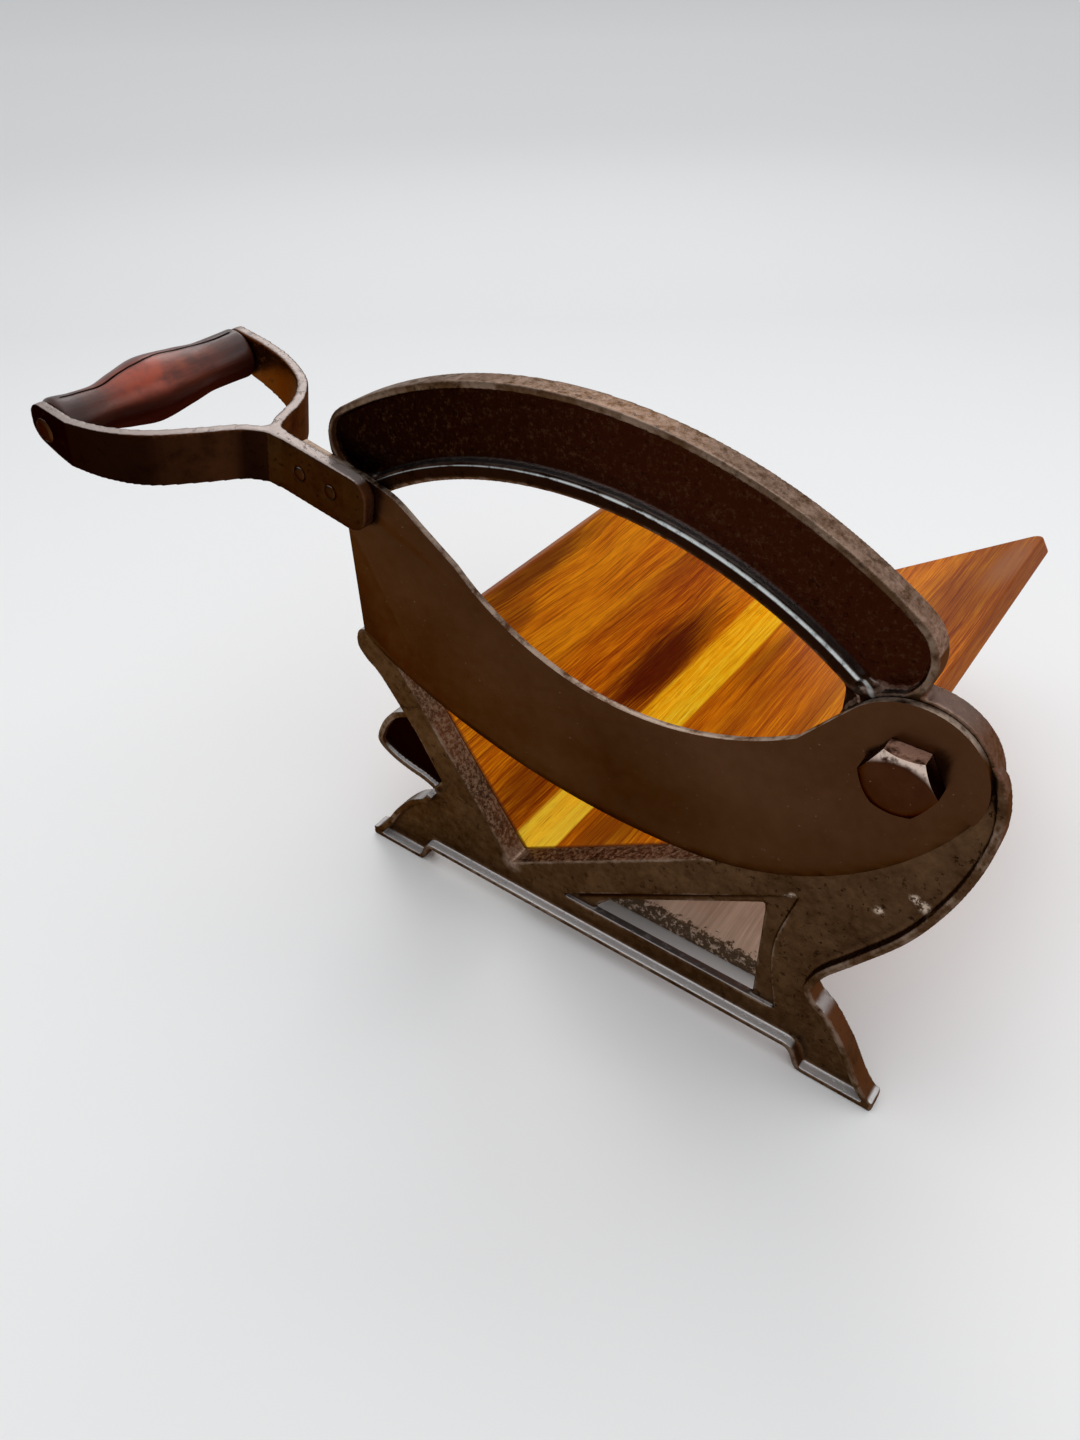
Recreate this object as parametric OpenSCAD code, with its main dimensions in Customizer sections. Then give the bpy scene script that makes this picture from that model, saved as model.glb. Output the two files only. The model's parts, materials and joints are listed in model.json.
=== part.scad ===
// Hand-lever bread slicer: a cast iron frame carries a V-shaped wooden trough, and a curved
// guillotine blade with a stirrup handle swings on a bolt across the throat of the frame.
// Millimetres. X runs along the frame towards the pivot, Y runs back along the trough, Z is up.

/* [Frame] */
// Distance between the tips of the two front feet
foot_span = 292; // [240:1:360]
// Width of the sole of each front foot
sole_w = 36; // [24:1:50]
// Height of the narrow waist above each foot
waist_h = 54; // [44:1:66]
// How far the left waist lies inside the tip of its foot
left_waist_in = 45; // [36:1:54]
// How far the right waist lies inside the tip of its foot
right_waist_in = 37; // [30:1:46]
// Clear height under the rail between the feet
rail_gap = 11.7; // [8:0.1:16]
// Thickness of the lip along the rail and the soles
lip_t = 2.8; // [2:0.1:4]
// Thickness of the rim up the feet and the right edge
rim_t = 3.4; // [2.5:0.1:3.8]
// How far the rims stand in front of the web
lip_out = 5.5; // [4.5:0.1:8]
// Thickness of the web
web_t = 4.5; // [3.5:0.1:6]
// Reach of the scroll beside the left waist
scroll_w = 38; // [28:1:44]
// Height of the scroll above the left waist
scroll_h = 40; // [30:1:46]

/* [Throat] */
// Distance of the valley of the trough left of the frame's middle
valley_x = 52; // [40:1:64]
// Height of the valley of the trough
valley_h = 29; // [27:0.5:36]
// Slope of the long side of the trough, the short side being square to it
long_slope = 33; // [28:0.5:38]
// Length of the short side of the throat up to the horn
short_side = 128; // [112:1:140]
// Width of the band along the short side
band_w = 16; // [12:0.5:20]
// Distance of the throat's right edge from the pivot
throat_edge = 26; // [20:1:30]
// Depth of the flange that lines the throat
flange_d = 12; // [8:0.5:20]
// Thickness of that flange
flange_t = 4.5; // [3:0.1:6]

/* [Window] */
// Width of the bar between the trough and the window
bar_w = 19.5; // [17:0.5:22]
// Height of the window's lower edge above the floor
window_h = 25.5; // [20:0.5:32]
// Distance of the window's right edge from the pivot
window_edge = 30; // [24:1:40]
// Depth of the step round the window
step_d = 2.5; // [1:0.1:3]
// Width of the ledge in that step
step_w = 5.3; // [3:0.1:8]

/* [Arch] */
// Distance of the arch's centre left of the pivot
arch_x = 137.5; // [127:0.5:148]
// Height of the pivot above the arch's centre
arch_h = 131; // [122:0.5:140]
// Inner radius of the arch
arch_r = 189; // [182:0.5:196]
// Height of the arch band
arch_band = 38.5; // [33:0.5:43]
// Angle of the arch's right end
arch_right = 55; // [53:0.5:58]
// Angle of the arch's left end
arch_left = 120; // [112:0.5:126]
// Depth of the arch from front to back
arch_d = 10; // [8:0.5:14]
// Depth of the recessed panel
panel_d = 4; // [2:0.1:6]
// Width of the arch's upper rim
upper_rim = 3; // [2:0.1:5]
// Width of the arch's lower rim
lower_rim = 9; // [6:0.1:11]
// Chamfer of the rims
rim_chamfer = 1.6; // [0.5:0.1:2]

/* [Pivot] */
// Distance of the pivot right of the frame's middle
pivot_x = 122; // [114:0.5:130]
// Height of the pivot
pivot_h = 184.5; // [176:0.5:194]
// Radius of the boss
boss_r = 28.5; // [28:0.5:34]
// Depth of the boss from front to back
boss_d = 10; // [7:0.5:14]
// How far the frame's right edge bulges past the boss
edge_bulge = 6; // [5:0.1:8]
// How far below the pivot that bulge is widest
edge_drop = 8.5; // [4:0.5:14]
// Diameter of the pivot bolt
bolt_d = 12; // [8:0.5:14]
// Width across the flats of the bolt head and the nut
hex_af = 24; // [22:0.5:27]
// Thickness of the bolt head
head_t = 9.5; // [6:0.1:12]
// Thickness of the nut
nut_t = 10; // [6:0.1:12]
// Wall of the sleeve that the blade turns on
sleeve_wall = 2; // [1:0.1:3]
// Outer radius of the friction disc behind the blade
disc_r = 20; // [14:0.5:24]
// Thickness of the friction disc
disc_t = 2; // [1:0.1:2.5]
// Outer radius of the flat washer
washer_r = 14; // [13:0.1:17]
// Thickness of the flat washer
washer_t = 2; // [1:0.1:3]
// Thickness of the split spring washer
spring_t = 3; // [2:0.1:4]

/* [Blade] */
// Thickness of the blade
blade_t = 2.8; // [2:0.1:3.2]
// Distance from the pivot to the blade's left end
blade_reach = 253; // [246:1:262]
// Distance of the cutting edge's lowest point left of the pivot
belly_x = 105; // [98:1:112]
// Distance of that lowest point below the pivot
blade_drop = 88; // [80:0.5:94]
// Radius of the cutting edge
edge_r = 300; // [285:1:320]
// Width of the blade at the middle of its hollow back
blade_w = 63.5; // [56:0.5:70]
// Distance of the hollow back's middle left of the pivot
hollow_x = 106; // [98:1:114]
// Radius of the hollow back
hollow_r = 121; // [114:1:128]
// Radius of the blade's round eye
eye_r = 27.5; // [25:0.5:29]
// Radius of the heel below the eye
heel_r = 127; // [116:0.5:134]
// Width of the ground bevel along the cutting edge
bevel_w = 6; // [3:0.5:9]
// Thickness left at the cutting edge
edge_t = 0.8; // [0.4:0.1:1.2]

/* [Handle] */
// Distance from the pivot to the end of the handle's stem
stem_x = 235; // [228:1:242]
// Height of the end of the stem above the pivot
stem_z = 27; // [22:0.5:32]
// Tilt of the handle
handle_tilt = 12; // [6:0.5:18]
// Length of the stem up to where the arms part
stem_len = 48; // [44:1:54]
// Length of the bend from there to the straight of the arms
bend_len = 66; // [58:1:72]
// How far the middle of the arms lies in front of the stem
fork_out = 4; // [0:0.5:8]
// Distance from the end of the stem to the grip's axis
grip_u = 129; // [118:1:140]
// Height of the handle's band
band_h = 25.5; // [24:0.5:30]
// Thickness of the stem
stem_t = 6.2; // [4:0.1:9]
// Thickness of the arms
arm_t = 5; // [3.5:0.1:7]
// How far the arms run past the grip's axis
arm_over = 8.5; // [8:0.5:14]
// Length of the blade's tang behind the stem
tang_len = 46; // [40:1:50]
// Diameter of the two rivets
rivet_d = 6; // [4:0.5:8]
// Distance between the two rivets
rivet_gap = 18; // [14:1:20]

/* [Grip] */
// Length of the grip
grip_len = 102; // [90:1:116]
// Radius of the grip at its palm swell
swell_r = 14.5; // [12:0.1:16]
// Radius of the grip at its front neck
neck_r = 9.9; // [8:0.1:11]
// Radius of the grip at its ends
grip_end_r = 11.5; // [10:0.1:13]
// Diameter of the rod through the grip
rod_d = 8; // [5:0.1:9]
// How far the rod's peened ends stand out
peen = 1; // [0.5:0.1:2]

/* [Boards] */
// Length of the boards
board_len = 284; // [240:1:330]
// Thickness of the boards
board_t = 9; // [8:0.5:11]
// Width of the long board from the valley
long_w = 180; // [165:1:190]
// Width of the short board from the valley
short_w = 119; // [108:1:126]
// Radius of the boards' outer corners
board_round = 9; // [4:0.5:14]
// Length of the frame's ledges under the boards
ledge_len = 36; // [28:1:50]
// Thickness of the ledges
ledge_t = 4.5; // [3:0.1:5]

/* [Base] */
// Distance of the base board behind the frame's web
base_gap = 25; // [16:0.5:36]
// Thickness of the base board
base_t = 10.5; // [8:0.5:12]
// How far the base board reaches right of the valley
base_right = 136; // [110:1:140]
// Thickness of the front bearer
bearer_t = 18; // [12:0.5:24]
// Distance of the front bearer behind the front of the base board
bearer_back = 60; // [46:1:90]
// Thickness of the rear leg
leg_t = 18; // [12:0.5:24]
// Distance of the rear leg from the back end of the boards
leg_back = 36; // [20:1:60]
// How far the leg and the base board reach left of the valley
leg_left = 44; // [32:1:56]
// How far the leg's foot reaches right of the valley
leg_right = 92; // [70:1:105]
// Edge of the square cleats that join the leg to the boards
cleat = 18; // [14:0.5:24]

/* [Fasteners] */
// Diameter of the wood screws
screw_d = 4.4; // [3:0.1:5]
// Diameter of their heads
screw_head_d = 8.8; // [7:0.1:10]
// Height of their heads
screw_head_h = 2.4; // [1.5:0.1:3.5]
// How far the screws reach into the boards
screw_bite = 7; // [4:0.5:7.5]
// Diameter of the nails at the valley
nail_d = 2.2; // [1.5:0.1:3]
// Length of the nails
nail_len = 34; // [24:1:44]
// Number of nails
nail_count = 4; // [2:1:6]

/* [Clearances] */
// Gap between the blade and the frame behind it
blade_gap = 0.3; // [0.2:0.05:0.4]
// Gap between the blade's eye and the rim beside it
eye_gap = 0.8; // [0.5:0.1:1.5]
// Gap between the bolt head and the blade
head_gap = 0.2; // [0.1:0.05:0.3]
// Radial play of turning and fitted round pieces
fit = 0.06; // [0.03:0.01:0.1]
// Gap between wooden and iron pieces that lie side by side
seat_gap = 0.2; // [0.1:0.05:0.4]

/* [Hidden] */
$fn = 64;
eps = 0.01;

iron = [0.23, 0.15, 0.12];
steel = [0.25, 0.18, 0.15];
bolt_brown = [0.33, 0.17, 0.13];
bright = [0.55, 0.53, 0.5];
oak = [0.76, 0.42, 0.08];
beech = [0.62, 0.42, 0.24];
lacquer = [0.4, 0.12, 0.08];
leather = [0.35, 0.2, 0.12];

// Depths, from the front of the rims backwards
face_y = lip_out;
web_back = face_y + web_t;
arch_back = face_y + arch_d;
boss_back = face_y + boss_d;
flange_back = face_y + flange_d;
blade_back = face_y - blade_gap;
blade_front = blade_back - blade_t;
stem_front = blade_front - stem_t;
board_front = flange_back + seat_gap;
board_back = board_front + board_len;
leg_front = board_back - leg_back - leg_t;
base_front = web_back + base_gap;
base_back = leg_front + leg_t + 6;
bearer_front = base_front + bearer_back;

// Main points of the front view
pivot = [pivot_x, pivot_h];
valley = [-valley_x, valley_h];
long_dir = [cos(long_slope), sin(long_slope)];
short_dir = [-long_dir[1], long_dir[0]];
throat_x = pivot_x - throat_edge;
half_span = foot_span / 2;
left_waist = [left_waist_in - half_span, waist_h];
right_waist = [half_span - right_waist_in, waist_h + 3];
edge_top = pivot + [boss_r + edge_bulge, -edge_drop];
arch_c = pivot - [arch_x, arch_h];
arch_mid_r = arch_r + arch_band / 2;
arch_right_end = arch_c + arch_mid_r * [cos(arch_right), sin(arch_right)];

// Handle: its own frame starts at the end of the stem, with the grip towards -x
handle_at = pivot + [-stem_x, stem_z];
stem_mid_y = (stem_front + blade_front) / 2;
fork_y = stem_mid_y - fork_out;
arm_mid = grip_len / 2 + seat_gap + arm_t / 2;
grip_at = handle_at + grip_u * [-cos(handle_tilt), sin(handle_tilt)];
rod_half = arm_mid + arm_t / 2 + peen;

// The middle of the whole part, where its origin lies
reach_left = grip_at[0] - max(swell_r, arm_over + 1.5);
reach_right = edge_top[0] + 0.1;
mid_x = (reach_left + reach_right) / 2;
mid_y = (fork_y - rod_half + board_back) / 2;

function reversed(p) = [for (i = [len(p) - 1:-1:0]) p[i]];
function rest(p) = [for (i = [1:len(p) - 1]) p[i]];
function middle(p) = [for (i = [1:len(p) - 2]) p[i]];
function shorn(p) = [for (i = [0:len(p) - 2]) p[i]];
function unit(v) = v / norm(v);
function turned(v) = [-v[1], v[0]];
function heading(v) = atan2(v[1], v[0]);
function at(p, i) = p[min(max(i, 0), len(p) - 1)];

// Points along an arc from angle a to angle b
function arc(c, r, a, b, n = 16) = [for (i = [0:n]) let (t = a + (b - a) * i / n) c + r * [cos(t), sin(t)]];

// Points along a smooth curve through p, n to each span
function curve(p, n = 6) = concat(
    [for (i = [0:len(p) - 2], k = [0:n - 1])
        let (t = k / n, a = at(p, i - 1), b = p[i], c = p[i + 1], d = at(p, i + 2))
        b + t / 2 * ((c - a) + t * ((2 * a - 5 * b + 4 * c - d) + t * (3 * b - a - 3 * c + d)))],
    [p[len(p) - 1]]);

// An open line moved sideways, to the left of its direction
function moved(p, d) = [for (i = [0:len(p) - 1])
    let (a = unit(at(p, i + 1) - at(p, i)), b = unit(at(p, i) - at(p, i - 1)),
         first = i == 0 ? a : b, second = i == len(p) - 1 ? b : a, m = turned(first) + turned(second))
    p[i] + d * m / (m * m / 2)];
function ribbon(p, d) = concat(p, reversed(moved(p, d)));

// A corner rounded with radius r, seen from a and going on to b
function corner(a, p, b, r, n = 6) =
    let (u = unit(a - p), v = unit(b - p), half = acos(u * v) / 2, c = p + unit(u + v) * r / sin(half),
         s = p + u * r / tan(half) - c, e = p + v * r / tan(half) - c,
         from = atan2(s[1], s[0]), sweep = atan2(s[0] * e[1] - s[1] * e[0], s * e))
    [for (i = [0:n]) c + r * [cos(from + sweep * i / n), sin(from + sweep * i / n)]];

// A closed outline with rounded corners, from points [x, y, radius]
function rounded(p) = let (n = len(p)) [for (i = [0:n - 1])
    each p[i][2] > 0
        ? corner(xy(p[(i + n - 1) % n]), xy(p[i]), xy(p[(i + 1) % n]), p[i][2])
        : [xy(p[i])]];
function xy(p) = [p[0], p[1]];

// Points of the trough's cross section: along a side from the valley, and out below its surface
function on_long(along, below) = valley + along * long_dir - below * short_dir;
function on_short(along, below) = valley + along * short_dir - below * long_dir;
function on_side(s, along, below) = s == 0 ? on_long(along, below) : on_short(along, below);
function long_z_at(x) = valley[1] + (x - valley[0]) * tan(long_slope);

// Moves the finished pieces so that the origin is under the middle of the part
module placed() {
    translate([-mid_x, -mid_y, 0]) children();
}

// A front-view outline given depth from y0 to y1
module slab(y0, y1) {
    translate([0, y1, 0]) rotate([90, 0, 0]) linear_extrude(y1 - y0) children();
}

// A round bar along Y from y0 to y1, at a point of the front view
module rod(p, r, y0, y1) {
    translate([p[0], y1, p[1]]) rotate([90, 0, 0]) cylinder(r = r, h = y1 - y0);
}

// A profile of [radius, depth] turned about an axis along Y, from angle a through a sweep
module turned_y(p, a = 0, sweep = 360) {
    translate([p[0], 0, p[1]]) rotate([90, 0, 0]) mirror([0, 0, 1]) rotate([0, 0, a])
        rotate_extrude(angle = sweep, $fn = 96) children();
}

// Stands what is drawn flat on a board's underside: x along the slope, y back, z out of the trough
module under_long(along, y) {
    p = on_long(along, board_t);
    translate([p[0], y, p[1]]) rotate([0, 180 - long_slope, 0]) mirror([1, 0, 0]) children();
}
module under_short(along, y) {
    p = on_short(along, board_t);
    translate([p[0], y, p[1]]) rotate([0, 270 - long_slope, 0]) children();
}

// Frame

// Side of a foot from its waist down to its tip, scaled from a profile in shares of reach and height
foot_profile = [[1, 1], [0.93, 0.91], [0.72, 0.79], [0.45, 0.54], [0.23, 0.26], [0.08, 0.12], [0, 0.1]];
function foot_side(reach, height) = curve([for (p = foot_profile) [p[0] * reach, p[1] * height]]);
left_side = [for (p = foot_side(left_waist_in, waist_h)) [p[0] - half_span, p[1]]];
right_side = reversed([for (p = foot_side(right_waist_in, right_waist[1])) [half_span - p[0], p[1]]]);

// Right edge from the waist up to the boss, in shares of the way between them
edge_profile = [[0, 0], [0.09, 0.1], [0.32, 0.24], [0.64, 0.445],
    [0.85, 0.65], [0.97, 0.84], [1, 1], [0.92, 1.13], [0.8, 1.18]];
right_edge = curve([for (p = edge_profile)
    right_waist + [p[0] * (edge_top - right_waist)[0], p[1] * (edge_top - right_waist)[1]]]);

sole_in = half_span - sole_w;
rail_in = sole_in - 5;
soles = concat(
    [[-half_span, 0]],
    corner([-half_span, 0], [-sole_in, 0], [-rail_in, rail_gap], lip_t + 1),
    corner([-sole_in, 0], [-rail_in, rail_gap], [0, rail_gap], 4),
    corner([0, rail_gap], [rail_in, rail_gap], [sole_in, 0], 4),
    corner([rail_in, rail_gap], [sole_in, 0], [half_span, 0], lip_t + 1),
    [[half_span, 0]]);

// Left edge of the band above the waist, and the horn that ends it
band_low = on_short(short_side * 0.4, band_w + 2);
horn = curve([on_short(short_side * 0.62, band_w), on_short(short_side * 0.88, band_w + 1.5),
    on_short(short_side * 0.96, band_w + 4.4), on_short(short_side * 1.03, band_w + 4.8),
    on_short(short_side * 1.08, band_w - 2), on_short(short_side * 1.06, band_w / 3),
    on_short(short_side, 0)]);

module web_2d() {
    polygon(concat(
        left_side, soles, right_side, rest(right_edge),
        [pivot + [0, boss_r * 0.6], [throat_x, pivot_h], [throat_x, long_z_at(throat_x)], valley],
        reversed(horn), [band_low]));
}

// Rim up the right foot and edge, which runs out into the boss
module right_rim() {
    runout = boss_r * 1.1;
    difference() {
        slab(0, web_back) polygon(ribbon(concat(right_side, rest(right_edge)), rim_t));
        translate([pivot_x, face_y, pivot_h + 12]) rotate([-atan(face_y / runout), 0, 0])
            translate([0, -2 * face_y, -2 * boss_r]) cube([2 * boss_r, 2 * face_y, 3 * boss_r]);
        rod(pivot, eye_r + eye_gap, -1, face_y);
    }
}

// Window: the step's outline and the opening inside it
window_x = pivot_x - window_edge;
function bar_z_at(x, w) = long_z_at(x) - w / cos(long_slope);
function bar_x_at(z, w) = valley[0] + (z - valley[1] + w / cos(long_slope)) / tan(long_slope);
window_bow = 7;
module window_step_2d() {
    top = [window_x + 3, bar_z_at(window_x + 3, bar_w)];
    polygon(concat(
        [[bar_x_at(window_h, bar_w), window_h]],
        curve([[window_x + 2, window_h], [window_x - window_bow + 3, (window_h + top[1]) / 2], top])));
}
module window_2d() {
    edge = window_x - 2 * step_w;
    w = bar_w + step_w;
    tip = bar_x_at(window_h + 12, w);
    polygon([[tip - 10, window_h], [edge + 0.5, window_h], [edge - 0.5, bar_z_at(edge - 0.5, w)],
        [tip, window_h + 12]]);
}

// Scroll: a leaf beside the left waist, with a rim round a sunken floor
scroll_profile = [[-0.1, -0.12], [0.2, 0.0], [0.5, 0.06], [0.8, 0.16],
    [1, 0.34], [0.88, 0.66], [0.66, 0.92], [0.4, 1.06]];
scroll_edge = curve([for (p = scroll_profile) left_waist + [-p[0] * scroll_w, p[1] * scroll_h]]);
scroll_front = face_y + 1.5;
module scroll() {
    slab(web_back, arch_back)
        polygon(concat(scroll_edge, [on_short(short_side * 0.7, band_w / 2), band_low]));
    slab(scroll_front, arch_back) polygon(ribbon(scroll_edge, -rim_t));
}

// Arch: a curved band with round ends, from its two radii and the angles of its ends
function band_outline(r_in, r_out, right, left) =
    let (mid = (r_in + r_out) / 2, half = (r_out - r_in) / 2)
    concat(
        arc(arch_c, r_out, right, left, 36),
        middle(arc(arch_c + mid * [cos(left), sin(left)], half, left, left + 180)),
        arc(arch_c, r_in, left, right, 36),
        middle(arc(arch_c + mid * [cos(right), sin(right)], half, right - 180, right)));

// Sunken panel of the arch: the lower rim stops short of the right end, where the panel fills the round
panel_end_r = arch_band / 2 - upper_rim;
rim_stop = arch_right_end + panel_end_r * [cos(arch_right - 165), sin(arch_right - 165)];
rim_stop_a = heading(rim_stop - arch_c);
function panel_outline() =
    let (low = arch_r + lower_rim, high = arch_r + arch_band - upper_rim, half = (high - low) / 2,
         left = arch_left + (panel_end_r - half) / arch_mid_r * 180 / PI,
         left_c = arch_c + (low + half) * [cos(left), sin(left)])
    concat(
        arc(arch_c, high, arch_right, left, 36),
        middle(arc(left_c, half, left, left + 180)),
        arc(arch_c, low, left, rim_stop_a, 36),
        shorn(arc(arch_right_end, panel_end_r, arch_right - 165, arch_right)));

// Bevels of the lower rim, as [radius from the arch's centre, depth]
module rim_bevels() {
    c = rim_chamfer;
    inner = arch_r + lower_rim;
    turned_y(arch_c, rim_stop_a - 1, arch_left - rim_stop_a + 1) {
        polygon([[arch_r - 1, face_y - 1], [arch_r + c + 1, face_y - 1], [arch_r - 1, face_y + c + 1]]);
        polygon([[inner + 1, face_y - 1], [inner - c - 1, face_y - 1], [inner - c, face_y],
            [inner - eps, face_y + panel_d - eps], [inner + 1, face_y + panel_d - eps]]);
    }
}
module arch() {
    difference() {
        slab(face_y, arch_back) polygon(band_outline(arch_r, arch_r + arch_band, arch_right, arch_left));
        slab(face_y - 1, face_y + panel_d) polygon(panel_outline());
        rim_bevels();
    }
}

// Neck between the arch's right end and the boss, set back behind the front
module neck() {
    cap_r = arch_band / 2;
    foot = [throat_x, pivot_h - 4];
    along = acos((throat_x - arch_c[0]) / arch_r);
    bend = arch_c + (arch_r - 1) * [cos(along), sin(along)];
    top = arch_c + (arch_r + 3) * [cos(along + 3.5), sin(along + 3.5)];
    slab(face_y + panel_d / 2, web_back + 2)
        polygon(concat([arch_right_end + [cap_r * 0.5, -cap_r * 0.8], top], corner(top, bend, foot, 9),
            [foot, pivot - [washer_r, 4], pivot + [4, washer_r + 11]]));
}

// Flange that lines the throat, with risers and ledges below the boards
module throat_flange() {
    long_end = (throat_x - valley[0]) / long_dir[0];
    slab(face_y, flange_back)
        polygon([valley, on_long(long_end, 0), on_long(long_end, flange_t),
            valley - flange_t * (long_dir + short_dir),
            on_short(short_side, flange_t), on_short(short_side, 0)]);
    deep = board_t + ledge_t;
    from = board_t * 1.6;
    for (s = [0, 1]) {
        to = s == 0 ? long_w * 0.8 : short_w * 0.8;
        slab(web_back - eps, flange_back)
            polygon([on_side(s, from, 0), on_side(s, to, 0), on_side(s, to, deep), on_side(s, from, deep)]);
        slab(web_back, flange_back + ledge_len)
            polygon([on_side(s, from, board_t + seat_gap), on_side(s, to, board_t + seat_gap),
                on_side(s, to, deep), on_side(s, from, deep)]);
    }
}

// Screws through the ledges, one pair to each board
ledge_screw_y = flange_back + ledge_len * 0.6;
long_screw_at = [long_w * 0.22, long_w * 0.68];
short_screw_at = [short_w * 0.26, short_w * 0.68];
module ledge_holes() {
    for (a = long_screw_at) under_long(a, ledge_screw_y) cylinder(d = screw_d + 2 * fit, h = ledge_t * 2);
    for (a = short_screw_at) under_short(a, ledge_screw_y) cylinder(d = screw_d + 2 * fit, h = ledge_t * 2);
}

module frame() color(iron) placed() difference() {
    union() {
        slab(face_y, web_back) web_2d();
        slab(0, web_back) polygon(ribbon(left_side, rim_t));
        slab(0, web_back) polygon(ribbon(soles, lip_t));
        right_rim();
        scroll();
        arch();
        neck();
        rod(pivot, boss_r, face_y, boss_back);
        throat_flange();
    }
    slab(face_y - eps, face_y + step_d) window_step_2d();
    slab(face_y, web_back + eps) window_2d();
    rod(pivot, bolt_d / 2 + fit, 0, boss_back + eps);
    rod(pivot, disc_r + fit, face_y - eps, face_y + disc_t);
    ledge_holes();
}

// Boards, drawn flat and laid on the two sides of the trough

module long_plan() {
    polygon(rounded([[-board_t, board_front, 0], [long_w, board_front, board_round],
        [long_w, board_back, board_round], [-board_t, board_back, 0]]));
}
module short_plan() {
    polygon(rounded([[fit, board_front, 0], [short_w, board_front, board_round],
        [short_w, board_back, board_round], [fit, board_back, 0]]));
}
module on_valley(tilt) {
    translate([valley[0], 0, valley[1]]) rotate([0, tilt, 0]) children();
}

nail_y = [for (i = [0:nail_count - 1]) board_front + board_len * (i + 0.5) / nail_count];
module nails(grow) {
    for (y = nail_y) under_long(-board_t / 2, y) {
        translate([0, 0, -nail_len]) cylinder(r = nail_d / 2 + grow, h = nail_len + eps);
        cylinder(r = nail_d + grow, h = 0.8);
    }
}

// Screws: z runs out of the wood, and the head bears on a piece of the given thickness
module wood_screw(through) {
    translate([0, 0, -screw_bite]) cylinder(d1 = screw_d / 4, d2 = screw_d, h = 2);
    translate([0, 0, 2 - screw_bite]) cylinder(d = screw_d, h = screw_bite + through - 2 + eps);
    translate([0, 0, through]) difference() {
        cylinder(d1 = screw_head_d, d2 = screw_head_d * 0.66, h = screw_head_h);
        translate([0, 0, screw_head_h]) cube([screw_head_d, 1.1, screw_head_h], center = true);
    }
}
module pilot() {
    translate([0, 0, -screw_bite - 0.3]) cylinder(d = screw_d + 2 * fit, h = screw_bite + 1);
}
module at_long_screws() for (a = long_screw_at) under_long(a, ledge_screw_y) children();
module at_short_screws() for (a = short_screw_at) under_short(a, ledge_screw_y) children();

// Cleats: from and to along each board, with screws up into the board and back into the leg
cleat_y = leg_front - cleat / 2 - fit;
long_cleat_at = [long_w * 0.17, long_w * 0.6];
short_cleat_at = [short_w * 0.2, short_w * 0.74];
function share(span, t) = span[0] + (span[1] - span[0]) * t;
module at_cleat_screws(s) for (t = [0.2, 0.8])
    if (s == 0) under_long(share(long_cleat_at, t), cleat_y) children();
    else under_short(share(short_cleat_at, t), cleat_y) children();
module at_leg_screws(s) for (t = [0.38, 0.62])
    if (s == 0) under_long(share(long_cleat_at, t), leg_front) into_leg() children();
    else under_short(share(short_cleat_at, t), leg_front) into_leg() children();
module into_leg() {
    translate([0, 0, cleat / 2]) rotate([90, 0, 0]) children();
}

module long_board() color(oak) placed() difference() {
    on_valley(-long_slope) translate([0, 0, -board_t]) linear_extrude(board_t) long_plan();
    nails(fit);
    at_long_screws() pilot();
    at_cleat_screws(0) pilot();
}
module short_board() color(oak) placed() difference() {
    on_valley(-90 - long_slope) linear_extrude(board_t) short_plan();
    nails(fit);
    at_short_screws() pilot();
    at_cleat_screws(1) pilot();
}
module valley_nails() color(bright) placed() nails(0);
module long_board_screws() color(bright) placed() at_long_screws() wood_screw(ledge_t);
module short_board_screws() color(bright) placed() at_short_screws() wood_screw(ledge_t);

// Base board on the floor, with two upright planks whose tops follow the undersides of the boards
under_corner = valley - board_t * (long_dir + short_dir);
module upright(y, t, left, right, along_long, along_short) {
    slab(y, y + t) difference() {
        polygon([[valley[0] - left, base_t], [valley[0] + right, base_t], on_long(along_long, board_t + fit),
            under_corner - fit * (long_dir + short_dir), on_short(along_short, board_t + fit)]);
        translate(on_long(-board_t / 2, board_t)) circle(r = nail_d + 1);
    }
}
base_screw_at = [[bearer_front + bearer_t / 2, [-20, 26]], [leg_front + leg_t / 2, [-24, leg_right * 0.7]]];
module at_base_screws() for (row = base_screw_at, x = row[1])
    translate([valley[0] + x, row[0], base_t]) rotate([180, 0, 0]) children();
base_hold = base_t - screw_head_h - 0.4;
module base_board() color(beech) placed() difference() {
    translate([valley[0] - leg_left, base_front, 0])
        cube([leg_left + base_right, base_back - base_front, base_t]);
    at_base_screws() cylinder(d = screw_d + 2 * fit, h = base_t * 2.2, center = true);
    at_base_screws() translate([0, 0, base_hold]) cylinder(d = screw_head_d + 0.6, h = base_t);
}
module front_bearer() color(beech) placed() difference() {
    upright(bearer_front, bearer_t, leg_left * 0.7, leg_right * 0.4, long_w * 0.3, short_w * 0.35);
    at_base_screws() pilot();
}
module rear_leg() color(beech) placed() difference() {
    upright(leg_front, leg_t, leg_left, leg_right, long_w * 0.66, short_w * 0.8);
    at_leg_screws(0) pilot();
    at_leg_screws(1) pilot();
    at_base_screws() pilot();
}
module base_screws() color(bright) placed() at_base_screws() wood_screw(base_hold);
module cleat_block(span) {
    translate([span[0], -cleat / 2, fit]) cube([span[1] - span[0], cleat, cleat - fit]);
}
module cleat_holes(s) {
    at_cleat_screws(s) cylinder(d = screw_d + 2 * fit, h = cleat * 2.2, center = true);
    at_leg_screws(s) cylinder(d = screw_d + 2 * fit, h = cleat * 2.2, center = true);
}
module long_cleat() color(beech) placed() difference() {
    under_long(0, cleat_y) cleat_block(long_cleat_at);
    cleat_holes(0);
}
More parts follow.
